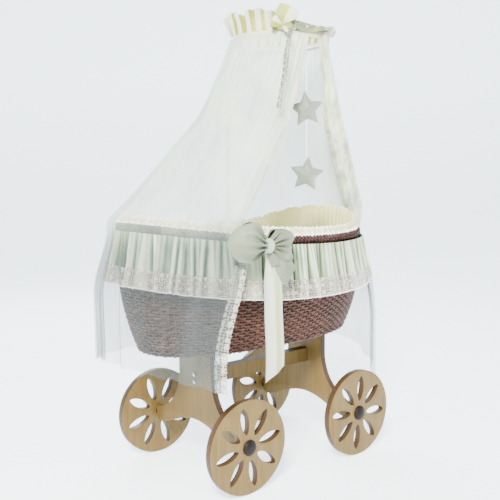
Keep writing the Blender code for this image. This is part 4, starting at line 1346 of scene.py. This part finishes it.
def make_veil_lace(looks):
    """Lace trim down the curtain's near edge, from under the bow to the hem."""
    rows = []
    levels = 150
    for k in range(levels):
        down = mix(0.60, 1.0, k / (levels - 1))
        point, out = veil_surface(0.0, down)
        beside, _ = veil_surface(0.03, down)
        along = (point - beside).normalized()
        point += out * (veil_folds(0.0, down) + 0.006 * smooth_step(0.3, 0.9, down) + 0.0012)
        scallop = 0.0022 * abs(math.sin(k * math.pi / 5.0))
        row = []
        for j in range(9):
            v = j / 8.0
            wave = 0.002 * math.sin(k * 0.55 + v)
            spot = point - along * (0.020 * (1.0 - v)) + along * (0.012 + scallop) * v
            row.append(tuple(spot + out * wave * v))
        rows.append(row)
    data = grid_mesh("veil_edge_lace", rows)
    lace = add_piece("veil_edge_lace", data, looks["lace"], "basket")


# ---- Canopy ring, ruffle and top bow ------------------------------------------------------
RUFFLE_PLEATS = 27
RUFFLE_RADIUS = (0.1530, 0.1660)
PLEAT_DEPTH = (0.0015, 0.0120)
CASING_HALF = (0.0062, 0.0095)
CASING_OUT = 0.0055


def ring_point(radius, angle, height):
    return (RING_X + radius * math.cos(angle), radius * math.sin(angle), height)


def ruffle_height(angle):
    """Share of the full height: tall pleats on the veiled side, low ones past the bow."""
    turn = math.degrees(angle) % 360.0
    low = smooth_step(226.0, 246.0, turn) * (1.0 - smooth_step(330.0, 395.0, turn))
    if turn < 35.0:
        low = 1.0 - smooth_step(-30.0, 35.0, turn)
    return mix(0.74, 0.16, low)


def pleat_phase(angle):
    return RUFFLE_PLEATS * angle + 0.7 * math.sin(3 * angle) + 0.5 * math.sin(5 * angle + 1.0)


def two_tones(data, looks, turned):
    """Cream satin, with the lime lining where the faces of a row are turned out."""
    data.materials.append(looks["cream_satin"])
    data.materials.append(looks["lime"])
    for polygon in data.polygons:
        polygon.material_index = int(turned[polygon.index % len(turned)])


def make_ruffle(looks):
    """Standing box pleats above the ring: cream outside, lime where the lining turns out."""
    low, high = local_box("ring_ruffle")
    count = RUFFLE_PLEATS * 36
    rows = []
    levels = 20
    for k in range(levels):
        share = k / (levels - 1)
        row = []
        for j in range(count):
            angle = math.tau * j / count
            wave = math.sin(pleat_phase(angle))
            square = math.tanh(2.6 * wave)
            slip = 0.95 * math.sin(2.0 * pleat_phase(angle)) / RUFFLE_PLEATS * share ** 0.7
            radius = mix(*RUFFLE_RADIUS, share ** 1.3) + mix(*PLEAT_DEPTH, share ** 0.7) * square
            tall = ruffle_height(angle) * (0.88 + 0.12 * math.sin(11 * angle + 0.6))
            crest = 0.004 * share * math.cos(pleat_phase(angle) * 2.0 + 0.5)
            height = mix(low.z - 0.001, high.z - 0.010, share * tall) + crest
            row.append(ring_point(radius, angle + slip, height))
        rows.append(row)
    data = grid_mesh("standing_ruffle", rows, True)
    turned = [math.sin(pleat_phase(math.tau * j / count) + 0.5) < -0.30 for j in range(count)]
    two_tones(data, looks, turned)
    ruffle = add_piece("standing_ruffle", data, None, "basket", ["ring_ruffle"])
    band = []
    for k in range(12):
        turn = math.tau * k / 12
        row = []
        for j in range(240):
            angle = math.tau * j / 240
            pucker = 1.0 + 0.10 * math.sin(angle * 60)
            row.append(ring_point(RING_RADIUS + CASING_OUT + CASING_HALF[0] * pucker * math.cos(turn), angle,
                                  RING_Z + 0.003 + CASING_HALF[1] * math.sin(turn)))
        band.append(row)
    casing = add_piece("ring_casing", grid_mesh("ring_casing", band + band[:1], True), looks["cream_satin"],
                       "basket")


def make_top_bow(looks):
    """Box bow on the ruffle with wavy tails along the ring."""
    low, high = local_box("top_bow_knot")
    middle = (low + high) / 2.0
    out = Vector((middle.x - RING_X, middle.y, 0.0)).normalized()
    side = Vector((-out.y, out.x, 0.0))
    loops = (("top_loop_a", 0.056, 0.031, 26.0, ["top_bow_loop"]), ("top_loop_b", 0.034, 0.016, -72.0, []),
             ("top_loop_c", 0.030, 0.015, 118.0, []))
    for name, length, half, lean, replaced in loops:
        tilt = math.radians(lean)
        along = side * math.sin(tilt) + Vector((0.0, 0.0, math.cos(tilt)))
        across = side * math.cos(tilt) - Vector((0.0, 0.0, math.sin(tilt)))
        rows = []
        for k in range(48):
            t = k / 47.0
            reach = math.sin(math.pi * t) ** 0.6
            open_share = smooth_step(0.0, 0.7, reach)
            row = []
            for j in range(17):
                v = across_at(j, 17)
                point = middle + along * (length * reach * (1.0 - 0.10 * v * v))
                point = point + across * (mix(0.006, half, open_share) * v)
                depth = 0.016 * math.cos(math.pi * t) * math.sin(math.pi * min(0.999, reach) * 0.5)
                crease = 0.0024 * math.sin(5.0 * v + 2.0) * (1.0 - 0.6 * open_share)
                row.append(tuple(point + out * (0.004 + depth + crease + 0.30 * length * reach * reach)))
            rows.append(row)
        data = grid_mesh(name, rows)
        two_tones(data, looks, [True] * 8 + [False] * 8)
        loop = add_piece(name, data, None, "basket", replaced, 1)
    make_knot("top_knot", middle, (side, out), (0.0105, 0.0085, 0.0125), (0.85, 0.06, 7, 0.08), (15, 32),
              looks["lime"], "top_bow_knot")
    make_top_tails(looks, middle)


def make_top_tails(looks, middle):
    """Two narrow tails that wave along the ring, and a short one hanging from them."""
    start = math.atan2(middle.y, middle.x - RING_X)
    sweeps = (("top_tail_a", math.radians(104.0), 0.0, 0.0095, ["top_bow_tails"]),
              ("top_tail_b", math.radians(66.0), -0.016, 0.0075, []))
    for name, sweep, drop, half, replaced in sweeps:
        rows = []
        for k in range(90):
            t = k / 89.0
            angle = start + sweep * t
            twist = 0.9 * math.sin(7.5 * t + drop * 100.0)
            radius = 0.1690 + 0.0065 * t + 0.004 * math.sin(11.0 * t)
            height = middle.z + drop * t + 0.007 * math.sin(9.0 * t + 1.0) + 0.006 * t
            centre = Vector(ring_point(radius, angle, height))
            radial = Vector((math.cos(angle), math.sin(angle), 0.0))
            span = mix(0.003, half, smooth_step(0.0, 0.15, t))
            row = []
            for j in range(7):
                v = across_at(j, 7)
                row.append(tuple(centre + Vector((0.0, 0.0, span * v * math.cos(twist)))
                                 + radial * (span * v * math.sin(twist) * 0.6)))
            rows.append(row)
        tail = add_piece(name, grid_mesh(name, rows), looks["ribbon"], "basket", replaced)
    make_lace_tail(looks)


def make_lace_tail(looks):
    low, high = local_box("lace_tail")
    keys = [(0.0, (high.x - 0.008, high.y - 0.016, high.z)), (0.35, (-0.022, -0.188, 1.270)),
            (0.7, (-0.050, -0.203, 1.190)), (1.0, (-0.080, -0.212, low.z))]
    rows = []
    for k in range(80):
        t = k / 79.0
        centre = curve_place(keys, t)
        side = Vector((0.8, -0.6, 0.0))
        edge = 0.0008 * abs(math.sin(k * 0.9))
        row = [tuple(centre + side * ((0.0065 + edge) * across_at(j, 7))
                     + Vector((0.0, -1.0, 0.0)) * (0.0015 * math.sin(10.0 * t + j * 0.4))) for j in range(7)]
        rows.append(row)
    tail = add_piece("hanging_lace", grid_mesh("hanging_lace", rows), looks["dotted"], "basket",
                     ["lace_tail"])


# ---- Stars --------------------------------------------------------------------------------
STAR_CORNER = math.pi / 5.0
STAR_NOTCH = 0.53
STAR_HALF_THICK = 0.0165
STAR_FACING = math.radians(-40.0)
STRING_RADIUS = 0.0012
STRING_STEPS = 23
BEAD_STEP = 0.011
BEAD_RADIUS = 0.0026
BEAD_MARGIN = 0.006


def star_edge(size, fold):
    """Distance to a star's straight edge; fold is 1 towards a point and 0 towards a notch."""
    notch = STAR_NOTCH * size
    away = (1.0 - fold) * STAR_CORNER
    point = Vector((size, 0.0))
    inner = Vector((notch * math.cos(STAR_CORNER), notch * math.sin(STAR_CORNER)))
    run = inner - point
    ray = Vector((math.cos(away), math.sin(away)))
    return (point.x * run.y - point.y * run.x) / (ray.x * run.y - ray.y * run.x)


def make_star(name, node_name, body, turn, looks):
    """Two star panels sewn edge to edge and stuffed: full in the middle, puckered along the seam."""
    low, high = local_box(node_name)
    middle = (low + high) / 2.0
    size = (high.z - low.z) / (1.0 + math.cos(STAR_CORNER))
    middle.z = high.z - size
    around = 120
    rings = 16
    halves = []
    for face in (1, -1):
        rows = []
        for k in range(rings + 1):
            share = k / rings
            row = []
            for j in range(around):
                angle = math.tau * j / around
                sector = (angle / (math.tau / 10.0)) % 2.0
                fold = abs(sector - 1.0)
                edge = star_edge(size, fold)
                radius = edge * share
                dome = (1.0 - share ** 2.6) ** 0.6
                arm = 1.0 - 0.62 * share * fold
                pucker = 0.0011 * math.sin(angle * 35.0) * share ** 3 * (1.0 - share) * 4.0
                thick = STAR_HALF_THICK * dome * arm + pucker + 0.0006 * (1.0 - share)
                direction = math.pi / 2.0 + angle + turn
                row.append((radius * math.cos(direction), -face * thick, radius * math.sin(direction)))
            rows.append(row)
        halves.append(rows)
    loops = halves[0] + halves[1][::-1][1:]
    data = grid_mesh(name, loops, True)
    mend(data, weld=0.00002)
    data.transform(Matrix.Translation(middle) @ Matrix.Rotation(STAR_FACING, 4, "Z"))
    star = add_piece(name, data, looks["star"], body, [node_name])


def make_stars(looks):
    make_star("puffed_star_upper", "star_upper", "star_upper", math.radians(6.0), looks)
    make_star("puffed_star_lower", "star_lower", "star_lower", math.radians(-7.0), looks)
    for name, node_name, body in (("string_upper", "star_string", "star_upper"),
                                  ("string_lower", "star_tie", "star_lower")):
        low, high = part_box(node_name)
        middle = (low + high) / 2.0
        curve = bpy.data.curves.new(name, "CURVE")
        curve.dimensions = "3D"
        curve.bevel_depth = STRING_RADIUS
        curve.bevel_resolution = 3
        curve.use_fill_caps = True
        spline = curve.splines.new("POLY")
        spline.points.add(STRING_STEPS)
        for k, point in enumerate(spline.points):
            point.co = (middle.x, middle.y, mix(high.z, low.z, k / STRING_STEPS), 1.0)
        piece = linked(name, curve)
        curve.materials.append(looks["white"])
        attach(piece, body)
        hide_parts(node_name)
        beads = make_beads(name + "_beads", low, high, looks, body)


def make_beads(name, low, high, looks, body):
    """Small round dots sewn along the string."""
    bm = bmesh.new()
    count = max(3, int((high.z - low.z) / BEAD_STEP))
    for k in range(count):
        height = mix(high.z - BEAD_MARGIN, low.z + BEAD_MARGIN, k / (count - 1))
        place = Vector(((low.x + high.x) / 2.0, (low.y + high.y) / 2.0, height)) - OFFSET
        bmesh.ops.create_icosphere(bm, subdivisions=2, radius=BEAD_RADIUS, matrix=Matrix.Translation(place))
    return add_piece(name, mesh_from(bm, name), looks["white"], body)


# ---- Stand --------------------------------------------------------------------------------
def evaluated(piece):
    """The piece's mesh with its modifiers applied."""
    graph = bpy.context.evaluated_depsgraph_get()
    data = bpy.data.meshes.new_from_object(piece.evaluated_get(graph))
    bpy.data.objects.remove(piece, do_unlink=True)
    return data


def prism_object(name, loops, thick):
    """Flat outline, extruded both ways along Y, as a scene object."""
    bm = bmesh.new()
    for outline in loops:
        low = [bm.verts.new((x, -thick / 2.0, z)) for x, z in outline]
        high = [bm.verts.new((x, thick / 2.0, z)) for x, z in outline]
        for k in range(len(outline)):
            after = (k + 1) % len(outline)
            bm.faces.new((low[k], low[after], high[after], high[k]))
        bm.faces.new(low)
        bm.faces.new(high)
    bmesh.ops.recalc_face_normals(bm, faces=bm.faces)
    return linked(name, mesh_from(bm, name))


def round_edges(piece, width):
    bevel = piece.modifiers.new("round", "BEVEL")
    bevel.width = width
    bevel.segments = 3
    bevel.limit_method = "ANGLE"
    bevel.angle_limit = math.radians(50.0)


BOARD_SHARP = math.radians(40.0)
AXLE_BORE = 0.0043
PETALS = 8
PETAL_FROM = 0.038
PETAL_TO = 0.122
PETAL_HALF = 0.0140
WHEEL_EASE = 0.0016
PANEL_EASE = 0.0018
PANEL_FOOT = (0.196, 0.140)
PANEL_FOOT_RADIUS = 0.027


def petal(turn, steps=14):
    """Outline of one slot of a wheel, turned to its place."""
    edge = []
    for k in range(steps + 1):
        share = k / steps
        edge.append((mix(PETAL_FROM, PETAL_TO, share), PETAL_HALF * math.sin(math.pi * share) ** 0.62))
    points = edge + [(radius, -half) for radius, half in reversed(edge[1:-1])]
    c = math.cos(turn)
    s = math.sin(turn)
    return [(c * r - s * w, s * r + c * w) for r, w in points]


def circle(radius, count):
    turns = [math.tau * k / count for k in range(count)]
    return [(radius * math.cos(turn), radius * math.sin(turn)) for turn in turns]


def add_board(name, data, place, look, body, node_name):
    """Plywood with eased edges; its mesh is drawn about the given place."""
    board = linked(name, data)
    data.shade_smooth()
    data.set_sharp_from_angle(angle=BOARD_SHARP)
    data.materials.append(look)
    board.location = place
    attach(board, body)
    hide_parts(node_name)


WHEEL_TURN = {"front_left": 10.0, "rear_left": -6.0, "front_right": 17.5, "rear_right": 28.0}


def make_wheels(looks):
    for corner in WHEELS:
        low, high = WHEEL_BOXES[corner]
        middle = (low + high) / 2.0 - OFFSET
        radius = (high.z - low.z) / 2.0
        thick = high.y - low.y
        disc = prism_object("disc", [circle(radius, 160)], thick)
        start = math.radians(WHEEL_TURN[corner])
        loops = [petal(start + math.tau * k / PETALS) for k in range(PETALS)]
        loops.append(circle(AXLE_BORE, 20))
        cutter = prism_object("slots", loops, 2.0 * thick)
        step = disc.modifiers.new("slots", "BOOLEAN")
        step.operation = "DIFFERENCE"
        step.object = cutter
        round_edges(disc, WHEEL_EASE)
        data = evaluated(disc)
        bpy.data.objects.remove(cutter, do_unlink=True)
        wheel = "wheel_" + corner
        add_board("petal_" + wheel, data, middle + OFFSET, looks["ply_y"], wheel, wheel)
        make_cap(corner, looks)


def make_cap(corner, looks):
    """Domed hub cap with a rolled edge."""
    low, high = local_box("hub_cap_" + corner)
    middle = (low + high) / 2.0
    side = 1.0 if middle.y > 0.0 else -1.0
    foot = low.y if side > 0 else high.y
    tall = high.y - low.y
    radius = (high.z - low.z) / 2.0
    profile = [(0.84, 0.0), (0.97, 0.0), (1.0, 0.10), (1.0, 0.26), (0.965, 0.36), (0.93, 0.40), (0.88, 0.52),
               (0.76, 0.72), (0.58, 0.87), (0.36, 0.96), (0.15, 0.995), (0.01, 1.0)]
    inside = [(0.01, 0.70), (0.50, 0.64), (0.80, 0.40), (0.84, 0.30)]
    rows = []
    for out, lift in profile + inside + profile[:1]:
        row = []
        for j in range(64):
            angle = math.tau * j / 64
            row.append((middle.x + radius * out * math.cos(angle), foot + side * tall * lift,
                        middle.z + radius * out * math.sin(angle)))
        rows.append(row)
    data = grid_mesh("dome_" + corner, rows, True)
    mend(data)
    add_piece("dome_" + corner, data, looks["cap"], "wheel_" + corner, ["hub_cap_" + corner])


def cubic(p0, p1, p2, p3, count):
    points = []
    for k in range(1, count + 1):
        t = k / count
        u = 1.0 - t
        weights = (u * u * u, 3 * u * u * t, 3 * u * t * t, t * t * t)
        points.append(tuple(sum(w * p[i] for w, p in zip(weights, (p0, p1, p2, p3))) for i in (0, 1)))
    return points


def make_panels(looks):
    """The two arched panels, drawn again with eased edges."""
    for end in ("front", "rear"):
        low, high = local_box(end + "_panel")
        thick = high.x - low.x
        top = high.z
        fy, fz = PANEL_FOOT
        radius = PANEL_FOOT_RADIUS
        flat = math.degrees(math.acos((high.y - fy) / radius))
        half = [(0.082, top), (0.082, 0.305)]
        shoulder = (fy + radius * math.cos(math.radians(105)), fz + radius * math.sin(math.radians(105)))
        half += cubic(half[-1], (0.086, 0.235), (0.130, 0.186), shoulder, 26)
        for degrees in (95.0, 83.0, 70.0, 58.0, flat, -flat, -58.0, -70.0, -83.0, -95.0, -105.0):
            turn = math.radians(degrees)
            half.append((fy + radius * math.cos(turn), fz + radius * math.sin(turn)))
        half += cubic(half[-1], (0.155, 0.112), (0.080, 0.165), (0.0, 0.165), 26)
        outline = half + [(-y, z) for y, z in reversed(half[:-1])]
        board = prism_object("board", [outline], thick)
        round_edges(board, PANEL_EASE)
        data = evaluated(board)
        data.transform(Matrix.Rotation(math.radians(90.0), 4, "Z"))
        data.transform(Matrix.Translation(((low.x + high.x) / 2.0 + OFFSET.x, OFFSET.y, 0.0)))
        add_board("arched_panel_" + end, data, (0.0, 0.0, 0.0), looks["ply_x"], "stand", end + "_panel")


def paint_nodes(looks):
    """Better materials for the CAD nodes whose shapes stay."""
    starts = {"spreader_beam": "ply_y", "base_board": "ply_z", "locating_peg": "ply_z", "beam_bolt": "steel",
              "axle_bolt": "steel", "clamp_screw": "steel", "spacer": "cap", "lower_pole": "paint",
              "upper_pole": "paint", "canopy_ring": "paint", "pole_sleeve": "plastic", "pole_clamp": "plastic"}
    for name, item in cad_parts.items():
        for start, look in starts.items():
            if name.startswith(start):
                item.data.materials.clear()
                item.data.materials.append(looks[look])


# ---- Everything ---------------------------------------------------------------------------
make_camera()
make_room()
LOOKS = make_looks()
paint_nodes(LOOKS)
make_wheels(LOOKS)
make_panels(LOOKS)
make_wicker(LOOKS)
make_braid(LOOKS)
make_lining(LOOKS)
make_bumper(LOOKS)
make_bedding(LOOKS)
make_skirt(LOOKS)
make_bow(LOOKS)
make_ruffle(LOOKS)
make_top_bow(LOOKS)
make_stars(LOOKS)
make_veil(LOOKS)
